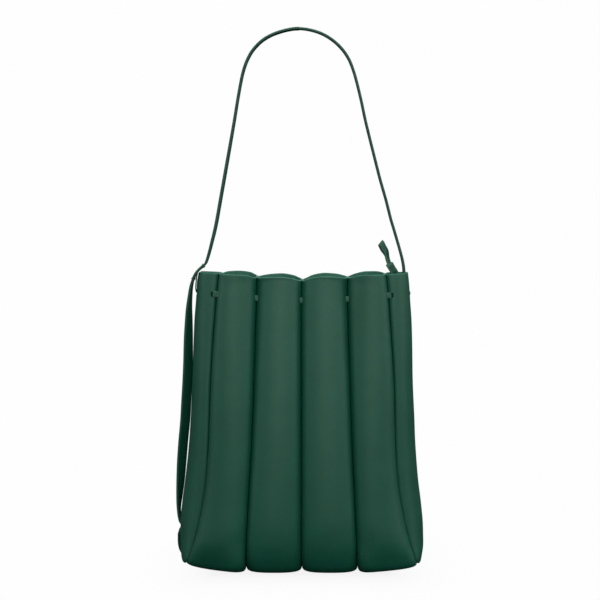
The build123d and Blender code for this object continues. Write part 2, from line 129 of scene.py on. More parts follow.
# Waves of the leather's unevenness: x frequency, z frequency, phase, weight
RIPPLES = [(0.031, -0.023, 1.3, 0.38), (0.047, 0.011, 4.1, 0.27),
           (0.019, -0.037, 2.2, 0.22), (0.071, 0.029, 0.7, 0.13)]


def ripple(x, z, seed):
    """Slow, smooth, repeatable unevenness between about -1 and 1."""
    return sum(weight * np.sin(fx * x + fz * z + phase * (seed + 1.7) + seed * (i + 1) * 0.9)
               for i, (fx, fz, phase, weight) in enumerate(RIPPLES))


# ---------------------------------------------------------------- shader nodes
# Sockets of a Mix node set to colours
MIX_FACTOR, MIX_A, MIX_B, MIX_RESULT = 0, 6, 7, 2


def set_inputs(tree, node, inputs):
    """Gives each named input a value, or links it when given an output socket."""
    for socket, value in inputs.items():
        if isinstance(value, bpy.types.NodeSocket):
            tree.links.new(value, node.inputs[socket])
        else:
            node.inputs[socket].default_value = value


def add_node(tree, kind, inputs={}, **settings):
    node = tree.nodes.new("ShaderNode" + kind)
    for key, value in settings.items():
        setattr(node, key, value)
    set_inputs(tree, node, inputs)
    return node


def calc(tree, operation, *values):
    """Output of a Math node."""
    return add_node(tree, "Math", dict(enumerate(values)), operation=operation).outputs[0]


def map_range(tree, source, from_low, from_high, to_low, to_high):
    values = (source, from_low, from_high, to_low, to_high)
    return add_node(tree, "MapRange", dict(enumerate(values))).outputs[0]


def two_tone(tree, factor, low, high, positions=(0.0, 1.0)):
    """Colour ramp between two colours."""
    node = add_node(tree, "ValToRGB", {"Fac": factor})
    for element, position, colour in zip(node.color_ramp.elements, positions, (low, high)):
        element.position = position
        element.color = colour
    return node.outputs["Color"]


def bump(tree, height, strength, distance, **below):
    inputs = {"Height": height, "Strength": strength, "Distance": distance, **below}
    return add_node(tree, "Bump", inputs).outputs["Normal"]


def new_material(name):
    material = bpy.data.materials.new(name)
    material.use_nodes = True
    return material, material.node_tree


# ------------------------------------------------------------------ materials
def linear(rgb):
    """Linear RGBA from 0-255 sRGB."""
    channels = [c / 255 for c in rgb]
    return tuple(c / 12.92 if c <= 0.04045 else ((c + 0.055) / 1.055) ** 2.4
                 for c in channels) + (1.0,)


def scaled(colour, factor, lift=0.0):
    return tuple(min(1.0, c * factor + lift) for c in colour[:3]) + (1.0,)


def leather(name, rgb, dark=0.90, light=1.09, rough=0.52, grain=1.0, suede=False, spec=0.5):
    """Leather with pores, soft creases, cloudy dye and paler high spots."""
    material, tree = new_material(name)
    base = linear(rgb)
    position = add_node(tree, "TexCoord").outputs["Object"]

    def noise(scale, detail, roughness=0.55, distortion=0.0):
        return add_node(tree, "TexNoise", {
            "Vector": position, "Scale": scale, "Detail": detail,
            "Roughness": roughness, "Distortion": distortion}).outputs

    # dye: slow clouds multiplied by fine specks
    clouds = two_tone(tree, noise(scale=30.0, detail=5.0)["Fac"],
                      scaled(base, dark), scaled(base, light), positions=(0.25, 0.75))
    fine = noise(scale=1500.0, detail=3.0, roughness=0.6)["Fac"]
    specks = two_tone(tree, fine, (0.80, 0.80, 0.80, 1), (1.16, 1.16, 1.16, 1),
                      positions=(0.25, 0.75))
    dye = add_node(tree, "Mix", data_type="RGBA", blend_type="MULTIPLY")
    set_inputs(tree, dye, {MIX_FACTOR: 0.7, MIX_A: clouds, MIX_B: specks})

    # rubbed places, from the mesh's own "wear" values
    wear = add_node(tree, "Attribute", attribute_name="wear").outputs["Fac"]
    patches = map_range(tree, noise(scale=140.0, detail=5.0, roughness=0.7)["Fac"],
                        from_low=0.35, from_high=0.65, to_low=0.25, to_high=1.0)
    worn = add_node(tree, "Mix", data_type="RGBA")
    set_inputs(tree, worn, {MIX_FACTOR: calc(tree, "MULTIPLY", wear, patches),
                            MIX_A: dye.outputs[MIX_RESULT],
                            MIX_B: scaled(base, 1.7, lift=0.01)})

    # relief: pores, then creases, then fine grain
    warp = noise(scale=260.0, detail=2.0)["Color"]
    warped = add_node(tree, "MixRGB", {"Fac": 0.004, "Color1": position, "Color2": warp},
                      blend_type="ADD").outputs["Color"]
    cells = add_node(tree, "TexVoronoi", {"Scale": 640.0, "Randomness": 1.0, "Vector": warped},
                     feature="DISTANCE_TO_EDGE").outputs["Distance"]
    pores = map_range(tree, cells, from_low=0.0, from_high=0.16, to_low=0.0, to_high=1.0)
    creases = noise(scale=70.0, detail=6.0, roughness=0.62, distortion=0.6)["Fac"]
    normal = bump(tree, pores, strength=0.20 * grain, distance=0.00012)
    normal = bump(tree, creases, strength=0.14 * grain,
                  distance=0.0005 if suede else 0.00035, Normal=normal)
    normal = bump(tree, fine, strength=(0.7 if suede else 0.25) * grain,
                  distance=0.00010, Normal=normal)

    roughness = map_range(tree, noise(scale=220.0, detail=4.0)["Fac"], from_low=0.3,
                          from_high=0.7, to_low=rough - 0.05, to_high=rough + 0.06)
    set_inputs(tree, tree.nodes["Principled BSDF"], {
        "Base Color": worn.outputs[MIX_RESULT],
        "Roughness": roughness,
        "Specular IOR Level": spec,
        "Sheen Weight": 0.15 if suede else 0.02,
        "Sheen Roughness": 0.5,
        "Sheen Tint": scaled(base, 6.0),
        "Normal": normal})
    return material


def thread_material(name, rgb):
    """Twisted thread: fine slanted bands in colour and relief."""
    material, tree = new_material(name)
    base = linear(rgb)
    position = add_node(tree, "TexCoord").outputs["Object"]
    slanted = add_node(tree, "Mapping", {"Vector": position, "Rotation": (0.6, 0.5, 0.3)})
    twist = add_node(tree, "TexWave", {"Vector": slanted.outputs["Vector"],
                                       "Scale": 900.0, "Distortion": 1.5}).outputs["Fac"]
    set_inputs(tree, tree.nodes["Principled BSDF"], {
        "Base Color": two_tone(tree, twist, scaled(base, 0.55), scaled(base, 1.25)),
        "Roughness": 0.72,
        "Normal": bump(tree, twist, strength=0.8, distance=0.0002)})
    return material


SKIN = leather("bag_skin", (11, 85, 65))
EDGE = leather("cut_edge", (36, 98, 78), dark=0.8, light=1.15, rough=0.62, grain=1.6, spec=0.4)
INSIDE = leather("flesh_side", (64, 122, 103), dark=0.88, light=1.10, rough=0.75, grain=1.2,
                 suede=True, spec=0.4)
STRAP = leather("strap_skin", (12, 80, 60), rough=0.47)
# suede back of the strap, coloured dark as painted shade where it faces the bag
STRAP_BACK_SHADED = leather("strap_back_painted_shade", (8, 56, 40), rough=0.85, grain=1.3, suede=True, spec=0.2)
STRAP_EDGE = leather("strap_edge", (26, 84, 65), dark=0.85, light=1.12, rough=0.5, grain=0.8)
LACE = leather("lace_skin", (22, 86, 66), rough=0.5, grain=0.8)
# pale cut edges of the lace; the same colour is painted as a highlight strip down the slider's
# front left corner
LACE_EDGE_AND_HIGHLIGHT = leather("lace_edge_and_painted_highlight", (70, 124, 104), dark=0.85, light=1.12, rough=0.6, grain=0.8)
THREAD = thread_material("stitch_thread", (14, 62, 46))
BOARD = leather("stiffener", (30, 36, 34), rough=0.7, grain=1.8)

# Material slots of a piece of leather, and the faces that use them
OUTER, CUT, INNER = 0, 1, 2
BAG_MATS = [SKIN, EDGE, INSIDE]
LACE_MATS = [LACE, LACE_EDGE_AND_HIGHLIGHT, LACE]
STRAP_MATS = [STRAP, STRAP_EDGE, INSIDE]


# ------------------------------------------------------------------- meshing
def new_mesh(name, verts, faces, mats, index=None, wear=None, sharp=55.0):
    """Smooth-shaded object from millimetre vertices; sharp is the crease angle in degrees."""
    mesh = bpy.data.meshes.new(name)
    mesh.from_pydata([tuple(v) for v in (np.asarray(verts, float) * MM)], [], faces)
    for mat in mats:
        mesh.materials.append(mat)
    if index is not None:
        mesh.polygons.foreach_set("material_index", np.asarray(index, dtype=np.int32))
    if wear is not None:
        attribute = mesh.attributes.new("wear", "FLOAT", "POINT")
        attribute.data.foreach_set("value", np.asarray(wear, dtype=np.float32))
    mesh.polygons.foreach_set("use_smooth", [True] * len(mesh.polygons))
    mesh.validate()
    mesh.update()
    piece = bpy.data.objects.new(name, mesh)
    bpy.context.scene.collection.objects.link(piece)
    bm = bmesh.new()
    bm.from_mesh(mesh)
    bmesh.ops.recalc_face_normals(bm, faces=bm.faces)
    bm.to_mesh(mesh)
    bm.free()
    mesh.update()
    if sharp:
        mesh.set_sharp_from_angle(angle=math.radians(sharp))
    return piece


def ring_ids(k, size, start=0):
    """Vertex numbers of ring k in a stack of rings."""
    return range(start + k * size, start + (k + 1) * size)


def bridge(lower, upper):
    """Quads between two closed rings of vertex numbers."""
    n = len(lower)
    return [(lower[j], lower[(j + 1) % n], upper[(j + 1) % n], upper[j]) for j in range(n)]


def shell(name, outer, inner, wear):
    """A closed leather sheet from two matching grids (rows, columns, 3). Row 0 is
    the free rim, rounded over; the other sides are closed with plain strips."""
    rim_rings = [(0.14, 0.30), (0.5, 0.46), (0.86, 0.30)]   # share of thickness, lift
    rows, cols = outer.shape[:2]
    count = rows * cols
    o = np.arange(count).reshape(rows, cols).tolist()
    i = (np.arange(count).reshape(rows, cols) + count).tolist()
    faces, index = [], []
    for r in range(rows - 1):
        for c in range(cols - 1):
            faces.append((o[r][c], o[r][c + 1], o[r + 1][c + 1], o[r + 1][c]))
            faces.append((i[r][c], i[r + 1][c], i[r + 1][c + 1], i[r][c + 1]))
            index += [OUTER, INNER]
    verts = [outer.reshape(-1, 3), inner.reshape(-1, 3)]
    up = unit(outer[0] - outer[1])
    for share, lift in rim_rings:
        verts.append(outer[0] * (1 - share) + inner[0] * share + up * lift)
    rims = [o[0]] + [ring_ids(k, cols, 2 * count) for k in range(len(rim_rings))] + [i[0]]
    for a, b in zip(rims, rims[1:]):
        faces += [(a[c], b[c], b[c + 1], a[c + 1]) for c in range(cols - 1)]
    for c in (0, cols - 1):
        faces += [(o[r][c], o[r + 1][c], i[r + 1][c], i[r][c]) for r in range(rows - 1)]
        faces.append(tuple(rim[c] for rim in rims))
    faces += [(o[-1][c], o[-1][c + 1], i[-1][c + 1], i[-1][c]) for c in range(cols - 1)]
    index += [CUT] * (len(faces) - len(index))
    worn = [wear.reshape(-1), wear.reshape(-1) * 0.3, np.full(cols * len(rim_rings), 0.9)]
    return new_mesh(name, np.vstack(verts), faces, BAG_MATS, index, np.concatenate(worn))


def rounded_section(width, thick, radius, steps=4):
    """Rounded rectangle as (across, through) pairs, steps to each corner."""
    x, y = width / 2 - radius, thick / 2 - radius
    points = []
    for cx, cy, start in ((x, y, 0), (-x, y, 90), (-x, -y, 180), (x, -y, 270)):
        for k in range(steps + 1):
            angle = math.radians(start + 90 * k / steps)
            points.append((cx + radius * math.cos(angle), cy + radius * math.sin(angle)))
    return points


def band(name, path, across, width, thick, radius, mats, thinning=1.0):
    """Sweeps a rounded band along path; across gives the direction of its width
    and thinning scales its thickness, both for the whole path or per point."""
    tangent = unit(np.gradient(path, axis=0))
    across = np.broadcast_to(np.asarray(across, float), path.shape)
    across = unit(across - (across * tangent).sum(1, keepdims=True) * tangent)
    through = np.cross(tangent, across)
    # a few points across each flat side keep twisted stretches smooth
    corners = rounded_section(width, thick, radius)
    section = []
    for k, (a, b) in enumerate(corners):
        following = corners[(k + 1) % len(corners)][0]
        section.append((a, b))
        if abs(a - following) > width * 0.4:
            section += [(a + (following - a) * j / 5, b) for j in range(1, 5)]
    section = np.array(section)
    size, rings = len(section), len(path)
    thickness = section[:, 1:] * np.reshape(thinning, (-1, 1, 1))
    verts = path[:, None] + section[:, :1] * across[:, None] + thickness * through[:, None]

    following = np.roll(section, -1, axis=0)
    flat = np.abs(section[:, 0] - following[:, 0]) > width * 0.05
    above = section[:, 1] + following[:, 1] > 0
    kinds = np.where(flat, np.where(above, OUTER, INNER), CUT).tolist()
    faces = []
    for k in range(rings - 1):
        faces += bridge(ring_ids(k, size), ring_ids(k + 1, size))
    faces += [tuple(range(size)), tuple(reversed(ring_ids(rings - 1, size)))]
    index = kinds * (rings - 1) + [CUT, CUT]
    return new_mesh(name, verts.reshape(-1, 3), faces, mats, index, sharp=60.0)


def cut(piece, cutters):
    """Subtracts each cutter from the piece and drops the cutter."""
    for cutter in cutters:
        hole = piece.modifiers.new("hole", "BOOLEAN")
        hole.operation = "DIFFERENCE"
        hole.solver = "EXACT"
        hole.object = cutter
    bpy.context.view_layer.update()
    graph = bpy.context.evaluated_depsgraph_get()
    mesh = bpy.data.meshes.new_from_object(piece.evaluated_get(graph),
                                           preserve_all_data_layers=True, depsgraph=graph)
    piece.modifiers.clear()
    old = piece.data
    piece.data = mesh
    for cutter in cutters:
        bpy.data.objects.remove(cutter)
    bpy.data.meshes.remove(old)
    mesh.set_sharp_from_angle(angle=math.radians(50))


def slot_cutter(centre, length_dir, through_dir, length, height, depth):
    """A stadium-shaped cutter: length x height in its face, depth along through_dir."""
    through = unit(through_dir)
    along = unit(length_dir)
    along = unit(along - (along @ through) * through)
    upward = np.cross(through, along)
    radius = min(length, height) / 2
    if length >= height:
        ends = [(length / 2 - radius, 0, -90), (radius - length / 2, 0, 90)]
    else:
        ends = [(0, height / 2 - radius, 0), (0, radius - height / 2, 180)]
    outline = []
    for a, b, start in ends:
        for k in range(9):
            angle = math.radians(start + 180 * k / 8)
            outline.append(np.asarray(centre, float) + along * (a + radius * math.cos(angle))
                           + upward * (b + radius * math.sin(angle)))
    outline = np.array(outline)
    n = len(outline)
    verts = np.vstack([outline - through * depth / 2, outline + through * depth / 2])
    faces = [tuple(range(n)), tuple(range(2 * n - 1, n - 1, -1))]
    faces += bridge(ring_ids(0, n), ring_ids(1, n))
    return new_mesh("slot", verts, faces, BAG_MATS, [CUT] * len(faces), sharp=None)


def ride(piece, node, body):
    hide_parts(node)
    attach(piece, body)


def blend(piece, nodes):
    """Hides the CAD parts the piece replaces and bakes its transform into its mesh."""
    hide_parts(*nodes)
    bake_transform(piece)


# ------------------------------------------------------ the bag's foot lines
# Distance from the middle as (z, x) pairs, for the pinched grooves, the side
# seams and the gussets' outermost lines
GROOVE_X = {
    LEFT: smooth_table([
        (0, 56.4), (5, 56.0), (13, 55.3), (38, 54.4), (57, 53.3), (77, 52.3), (97, 51.2),
        (116, 49.9), (135, 49.0), (155, 48.2), (174, 47.4), (194, 46.9), (213, 46.3),
        (232, 45.8), (252, 45.2), (266, 44.7), (293, 44.2), (310, 44.0)]),
    RIGHT: smooth_table([
        (0, 55.5), (5, 55.2), (13, 54.6), (38, 53.9), (57, 53.1), (77, 52.2), (97, 51.2),
        (116, 50.3), (135, 49.5), (155, 48.9), (174, 48.2), (194, 47.7), (213, 47.0),
        (232, 46.4), (252, 46.0), (266, 45.4), (293, 45.2), (310, 45.0)])}
SEAM_X = {
    LEFT: smooth_table([
        (0, 114.9), (13.5, 112.8), (20, 110.3), (36, 105.9), (56, 100.8), (76, 96.8),
        (95, 94.2), (115, 92.5), (135, 91.4), (154, 90.7), (174, 90.0), (194, 89.2),
        (213, 88.1), (233, 86.8), (252, 85.3), (267, 84.2), (282, 83.0), (296, 81.6),
        (310, 80.4)]),
    RIGHT: smooth_table([
        (0, 115.2), (13.5, 113.3), (20, 110.8), (36, 106.4), (56, 101.4), (76, 97.6),
        (95, 95.0), (115, 93.3), (135, 92.3), (154, 91.8), (174, 91.5), (194, 90.8),
        (213, 89.7), (233, 88.4), (252, 87.0), (267, 86.1), (282, 84.9), (296, 83.2),
        (310, 82.0)])}
TIP_X = {
    LEFT: smooth_table([
        (0, 118.6), (6, 120.7), (12, 122.1), (25, 123.0), (37, 123.1), (55, 122.2),
        (67, 120.8), (86, 118.2), (107, 115.6), (127, 113.6), (148, 112.0), (168, 110.9),
        (189, 109.8), (209, 109.0), (230, 108.2), (250, 107.2), (262, 106.4), (267, 105.8),
        (272, 105.1), (277, 104.7), (282, 104.8), (287, 104.5), (292, 103.8), (297, 103.0),
        (299.5, 102.4), (310, 100.0)]),
    RIGHT: smooth_table([
        (0, 119.0), (6, 121.4), (12, 122.9), (25, 123.8), (37, 123.7), (55, 122.4),
        (67, 121.0), (86, 118.5), (107, 116.5), (127, 115.0), (148, 114.1), (168, 113.0),
        (189, 111.9), (209, 111.5), (230, 111.0), (250, 110.2), (270, 108.7), (280, 108.0),
        (290, 107.2), (298, 106.2), (310, 105.0)])}
# Height of the rim, as (x, z)
RIM = smooth_table([
    (-135, 300.0), (-118, 299.2), (-102, 298.5), (-92, 298.2), (-82.7, 297.9), (-78, 297.5),
    (-64, 297.2), (-54, 296.2), (-45, 293.2), (-34, 294.1), (-22, 294.6), (-10, 293.1),
    (0, 290.2), (10, 293.4), (22, 295.1), (34, 294.5), (45, 292.9), (54, 295.4), (64, 297.0),
    (82.7, 296.9), (92, 297.1), (106, 297.4), (120, 298.0), (135, 298.6)])
# How far the back rim lies below the front one, as (x, drop)
BACK_DROP = smooth_table([
    (-135, 0), (-110, 0), (-95, 1.0), (-82.7, 1.8), (-76, 0.7), (-66, 0.3), (-56, 0.2),
    (-45, 0.0), (0, 0), (45, 0.0), (56, 0.7), (66, 0.6), (76, 0.4), (82.7, 1.3), (95, 1.0),
    (110, 0), (135, 0)])
# Sideways shift of the back wall near its rim, as (x, shift)
BACK_SHIFT = smooth_table([(-130, 1.6), (-82, 2.2), (-45, 2.0), (0, 1.7), (45, 1.0),
                           (82, 1.0), (130, 0.6)])
CENTRE = -0.4              # x of the middle groove
LEATHER = 1.5              # thickness
GAP = 0.05                 # half gap of a pinched groove
FIN = 3.4                  # how deep the pinch goes in

WALL_LEVELS = [288, 280, 268, 252, 234, 214, 194, 174, 152, 130, 108, 88, 70, 56]
SEAM_RIM_Z = 297
GROOVE_RIM_Z = 290
# Side seam round the bottom edge: x, y, z for the right seam, before the changes below
SEAM_BOTTOM = [(104.1, -40.4, 44), (107.5, -41.2, 32), (110.7, -41.8, 22), (113.3, -41.4, 15),
               (114.7, -37.2, 11.7), (115.4, -28, 10.2), (115.8, -14, 9.6), (115.9, 0, 9.5)]
SEAM_BOTTOM_OUT = {LEFT: -0.5, RIGHT: 0.0}
SEAM_BOTTOM_DROP = {LEFT: -0.1, RIGHT: 0.5}    # only below z = 20
# Grooves round the bottom edge: height at which x is read, x shift, y, z
GROOVE_BOTTOM = [(44, 0, -46.9, 44), (32, 0, -47.0, 32), (21, 0, -45.0, 20.5),
                 (13, 0.4, -41.0, 12.6), (8, 0.8, -35.0, 8.0), (5, 0.9, -26.0, 6.2),
                 (2, 0.6, -13.0, 5.7), (0, 0.4, 0, 5.6)]
# Gusset tip line: levels read from TIP_X, then x, z round the bottom edge
TIP_LOW_LEVELS = [44, 32, 22]
TIP_BOTTOM = [(122.2, 14.0), (121.0, 8.6), (119.6, 6.0), (118.0, 6.3)]
TIP_RIM_Z = {LEFT: 298.3, RIGHT: 297.6}
TIP_END_X = 116.15
TIP_END_Z = {LEFT: 9.4, RIGHT: 9.0}

ROWS = 155
CONTROLS = 1 + len(WALL_LEVELS) + len(SEAM_BOTTOM)
ROW_Q = np.linspace(0, CONTROLS - 1, ROWS)     # each row's place among the control points
Q_EDGE = len(WALL_LEVELS) + 1                  # control point just above the bottom edge
RIM_WEAR = np.clip(1 - ROW_Q / 0.35, 0, 1) * 0.4


def through_rows(controls):
    """Spline through one value or point per control, read at every row."""
    y = np.array(controls, float)
    slopes = np.gradient(y, axis=0)
    i = np.clip(np.floor(ROW_Q).astype(int), 0, len(y) - 2)
    t = (ROW_Q - i).reshape((-1,) + (1,) * (y.ndim - 1))
    return hermite(t, y[i], y[i + 1], slopes[i], slopes[i + 1])


def seam_depth(z):
    return 13.0 + 29.0 * (1.0 - np.clip(z / 297.0, 0, 1) ** 1.5)


def groove_depth(z):
    return 6.0 + 44.0 * (1.0 - np.clip(z / 290.0, 0, 1) ** 1.5)


def placed(points, side):
    """Front points as they are, or mirrored to the back wall and shifted near its
    rim, fading to nothing at the gussets' tips."""
    if side == FRONT:
        return np.asarray(points, float)
    moved = np.array(points, float)
    moved[..., 1] *= -1
    x, y, z = moved[..., 0], moved[..., 1], moved[..., 2]
    moved[..., 0] += BACK_SHIFT(x) * step(225, 297, z) * step(0, 13, y)
    return moved


def rim_at(x, side):
    return RIM(x) - (BACK_DROP(x) if side == BACK else 0.0)


def seam_line(hand, side=FRONT):
    """A side seam of the front wall; side only sets the height of its rim."""
    def seam_x(z):
        return hand * SEAM_X[hand](z)

    points = [(seam_x(SEAM_RIM_Z), -seam_depth(SEAM_RIM_Z), rim_at(seam_x(SEAM_RIM_Z), side))]
    points += [(seam_x(z), -seam_depth(z), z) for z in WALL_LEVELS]
    for x, y, z in SEAM_BOTTOM:
        drop = SEAM_BOTTOM_DROP[hand] if z < 20 else 0
        points.append((hand * (x + SEAM_BOTTOM_OUT[hand]), y, z - drop))
    return through_rows(points)


def groove_line(hand):
    """A pinched groove of the front wall; hand 0 is the middle one."""
    def groove_x(z):
        if hand == 0:
            return CENTRE + 0.6 * max(0.0, (z - 268) / 20)
        lean = (0.7 if hand == RIGHT else -0.1) * max(0.0, (z - 278) / 16) ** 2
        return hand * GROOVE_X[hand](z) + lean

    rim_z = float(RIM(hand * 44.8))
    points = [(groove_x(rim_z), -groove_depth(GROOVE_RIM_Z), rim_z)]
    points += [(groove_x(z), -groove_depth(z), z) for z in WALL_LEVELS]
    points += [(groove_x(level) + shift, y, z) for level, shift, y, z in GROOVE_BOTTOM]
    return through_rows(points)


def foot_lines(side=FRONT):
    """The lines where flutes meet, from left to right."""
    return [seam_line(LEFT, side), groove_line(LEFT), groove_line(0), groove_line(RIGHT),
            seam_line(RIGHT, side)]


def outward(line):
    """Unit normals of a foot line in its y-z plane, pointing out of the bag."""
    change = np.gradient(line, axis=0)
    normals = unit(np.stack([np.zeros(len(line)), change[:, 2], -change[:, 1]], 1))
    # soften the turn at the bottom edge
    for _ in range(3):
        normals[1:-1] = unit(normals[:-2] + 2 * normals[1:-1] + normals[2:])
    return normals


# ---------------------------------------------------------------------- walls
FLUTE_HEIGHT = 14.0
FLUTE_SCALE = [1.00, 1.03, 1.02, 0.99]
FLUTE_SEG = 28
# Crest beyond a flute's feet from Q_EDGE on, round the bottom edge, as (y, z) offsets
EDGE_CREST = np.array([(-14.3, 1.6), (-13.6, 0.2), (-13.0, -1.3), (-12.5, -3.0),
                       (-11.4, -4.2), (-8.4, -5.0), (-4.0, -5.3), (0.0, -5.4)])
# Superellipse power of the flutes' section: 2 is an ellipse, more is squarer
POWER = through_rows([2.0] * Q_EDGE + [2.0, 2.05, 2.15, 2.25, 2.4, 2.6, 2.9, 3.1])
# Outer flutes at the base: power of the rise towards the side seam
CORNER_RISE = {0: 0.56, 3: 0.40}
CORNER_SHARE = 0.77        # share of the width over which it rises
ON_BASE = step(Q_EDGE + 2, Q_EDGE + 6, ROW_Q)
EDGE_WEAR = step(Q_EDGE + 1, Q_EDGE + 3, ROW_Q) * (1 - step(Q_EDGE + 3.5, Q_EDGE + 6, ROW_Q))
WALL_SEED = {FRONT: 0.0, BACK: 7.3}
FLOOR_CLEARANCE = 0.02


def crest_offsets(normals, height):
    """From the feet to the crest: along the normals on the wall, then EDGE_CREST."""
    edge = interpolate(ROW_Q, np.arange(Q_EDGE, CONTROLS), EDGE_CREST)
    listed = np.column_stack([np.zeros(ROWS), edge])
    share = step(Q_EDGE - 2.5, Q_EDGE + 0.5, ROW_Q)[:, None]
    crest = normals * height * (1 - share) + listed * share
    for _ in range(4):
        crest[1:-1] = (crest[:-2] + 2 * crest[1:-1] + crest[2:]) / 4
    return crest


def corner_profile(flute, t):
    """Height profile of an outer flute at the base, pulled up into the corner."""
    from_seam = t if flute == 0 else 1 - t
    rise = np.clip(from_seam / CORNER_SHARE, 0, 1) ** CORNER_RISE[flute]
    far = np.clip((1 - from_seam) / (1 - CORNER_SHARE), 0, 1)
    return rise * (1 - (1 - far) ** 2.7) ** (1 / 2.3)


def wall_grid(inset, side):
    """Front-wall grid and wear; inset 0 is the outside, LEATHER the flesh side."""
    feet = foot_lines(side)
    normals = [outward(foot) for foot in feet]
    fin = ((FIN + inset) * (1 - 0.45 * ON_BASE))[:, None]
    half_gap = GAP + inset
    columns, wear = [], []
    for flute in range(4):
        a, b = feet[flute:flute + 2]
        na, nb = normals[flute:flute + 2]
        width = np.linalg.norm(b - a, axis=1)
        u = unit(b - a)
        crest = crest_offsets(unit(na + nb), FLUTE_HEIGHT * FLUTE_SCALE[flute] + GAP)
        crest_height = np.linalg.norm(crest, axis=1)
        crest_dir = crest / crest_height[:, None]
        columns.append(a + u * half_gap - na * fin)
        wear.append(np.zeros(ROWS))
        for i, angle in enumerate(np.linspace(0, math.pi, FLUTE_SEG + 1)):
            across = -np.cos(angle)
            rise = np.sin(angle) if 0 < i < FLUTE_SEG else 0.0
            across = np.sign(across) * np.abs(across) ** (2 / POWER)
            rise = rise ** (2 / POWER)
            t = (across + 1) / 2
            if flute in CORNER_RISE:
                share = step(Q_EDGE + 0.5, Q_EDGE + 3.0, ROW_Q)
                rise = rise * (1 - share) + corner_profile(flute, t) * share
            base = (a + b) / 2 + u * (across * (width / 2 - half_gap))[:, None]
            normal = unit(na * (1 - t)[:, None] + nb * t[:, None])
            lump = (0.35 * ripple(base[:, 0], base[:, 2], WALL_SEED[side] + flute * 1.9)
                    * rise * (1 - ON_BASE))
            height = crest_height * rise + lump
            if inset:
                height = np.maximum(height - inset, 0.0)
            # near its feet the sheet leaves along the feet's own normal
            lean = rise[:, None] ** 0.5
            p = base + unit(normal * (1 - lean) + crest_dir * lean) * height[:, None]
            # follow the rim's own line between two feet, fading downwards
            fade = np.clip(1 - (ROW_Q / 5.0), 0, 1) ** 1.5
            p[:, 2] += fade * (rim_at(base[0, 0], side) - p[0, 2])
            columns.append(p)
            wear.append(rise ** 6 * EDGE_WEAR * 0.25 + RIM_WEAR)
        columns.append(b - u * half_gap - nb * fin)
        wear.append(np.zeros(ROWS))
    grid = np.stack(columns, 1)
    grid[:, :, 2] = np.maximum(grid[:, :, 2], FLOOR_CLEARANCE + inset)
    grid[:, :, 1] = np.minimum(grid[:, :, 1], 0.0)
    return grid, np.stack(wear, 1)


# -------------------------------------------------------------------- gussets
HALF_SEG = 22
GUSSET_POWER = through_rows([2.1] * (CONTROLS - 2) + [2.0] * 2)
BELOW_EDGE = step(Q_EDGE, Q_EDGE + 3, ROW_Q)
# Height of the padding's swell just outside the pinched seam
PADDING = 3.6 * (1 - 0.75 * step(3, Q_EDGE, ROW_Q)) * (1 - BELOW_EDGE) + 0.6 * BELOW_EDGE


def tip_line(hand):
    """The gusset's outermost line, at y = 0."""
    tip_x = TIP_X[hand]
    levels = [TIP_RIM_Z[hand]] + WALL_LEVELS + TIP_LOW_LEVELS
    points = [(hand * tip_x(z), 0, z) for z in levels]
    points += [(hand * x, 0, z) for x, z in TIP_BOTTOM + [(TIP_END_X, TIP_END_Z[hand])]]
    return through_rows(points)


def gusset_grid(hand, inset, side):
    """Front half of a gusset and its wear, from the front seam to the tip line."""
    seam = seam_line(hand, side)
    tip = tip_line(hand)
    normals = outward(seam)
    half_gap = GAP + inset
    columns = [seam + np.array([hand, 0, 0]) * half_gap - normals * (FIN + inset) * 0.9]
    wear = [np.zeros(ROWS)]
    for i, angle in enumerate(np.linspace(0, 1, HALF_SEG + 1) ** 1.25 * math.pi / 2):
        c = math.cos(angle) if i < HALF_SEG else 0.0
        s = math.sin(angle)
        back = c ** (2 / GUSSET_POWER)
        out = s ** (2 / GUSSET_POWER)
        x0, x1 = seam[:, 0] + hand * half_gap, tip[:, 0] - hand * inset
        x = x0 + (x1 - x0) * out
        z = seam[:, 2] + (tip[:, 2] - seam[:, 2]) * s ** 1.5
        if hand == LEFT:
            # pressed down a little under the strap's keeper
            z = z - 0.9 * step(0.93, 1.0, s) * (1 - step(0.0, 0.9, ROW_Q))
        z = z + step(Q_EDGE + 2, Q_EDGE + 5, ROW_Q) * inset * out
        swell = (0.48 * ripple(x * 2.2, z, 5.0 + hand) * s * c
                 * (1 - step(Q_EDGE + 1, Q_EDGE + 3, ROW_Q)))
        bulge = PADDING * (1 - np.exp(-out / 0.075)) * (1 - out ** 2.5)
        bulge = bulge - inset * (c if i else 0.0)
        normal = normals * (1 - s) + np.array([0, -1.0, 0]) * s
        p = np.stack([x, seam[:, 1] * back - swell, z], 1)
        p += normal * bulge[:, None] * np.array([0, 1, 1])
        p[:, 1] = np.minimum(p[:, 1], 0)
        columns.append(p)
        wear.append(RIM_WEAR + 0.2 * (s > 0.9) * step(Q_EDGE - 1, Q_EDGE + 2, ROW_Q))
    grid = np.stack(columns, 1)
    grid[:, -1, 1] = 0.0
    return grid, np.stack(wear, 1)


# --------------------------------------------------------- build: bag and slots
# Course of the front lace, as (x, z) and (x, y)
LACE_Z = smooth_table([
    (-95, 278.0), (-84, 277.9), (-64, 275.6), (-45, 273.4), (-22, 272.0), (0, 271.2),
    (22, 271.8), (45, 272.4), (64, 274.4), (84, 276.6), (95, 276.8)])
LACE_Y = smooth_table([
    (-95, -17.0), (-86.5, -19.0), (-80, -20.0), (-70, -17.2), (-45, -13.8), (0, -13.6),
    (45, -13.8), (70, -17.2), (80, -20.0), (86.5, -19.0), (95, -17.0)])
# Lace slots in a wall: x on the lace, x shift, length, depth
WALL_SLOTS = [(-82.5, 2.4, 3.4, 9.0), (-45, 0, 3.0, 13.0), (CENTRE, 0, 3.0, 13.0),
              (45, 0, 3.0, 13.0), (82.5, -2.4, 3.4, 9.0)]
# Centre of the lace slot in a gusset's front half
GUSSET_LACE_SLOT = {LEFT: (-87.6, -15.0, 277.9), RIGHT: (88.7, -15.0, 276.7)}
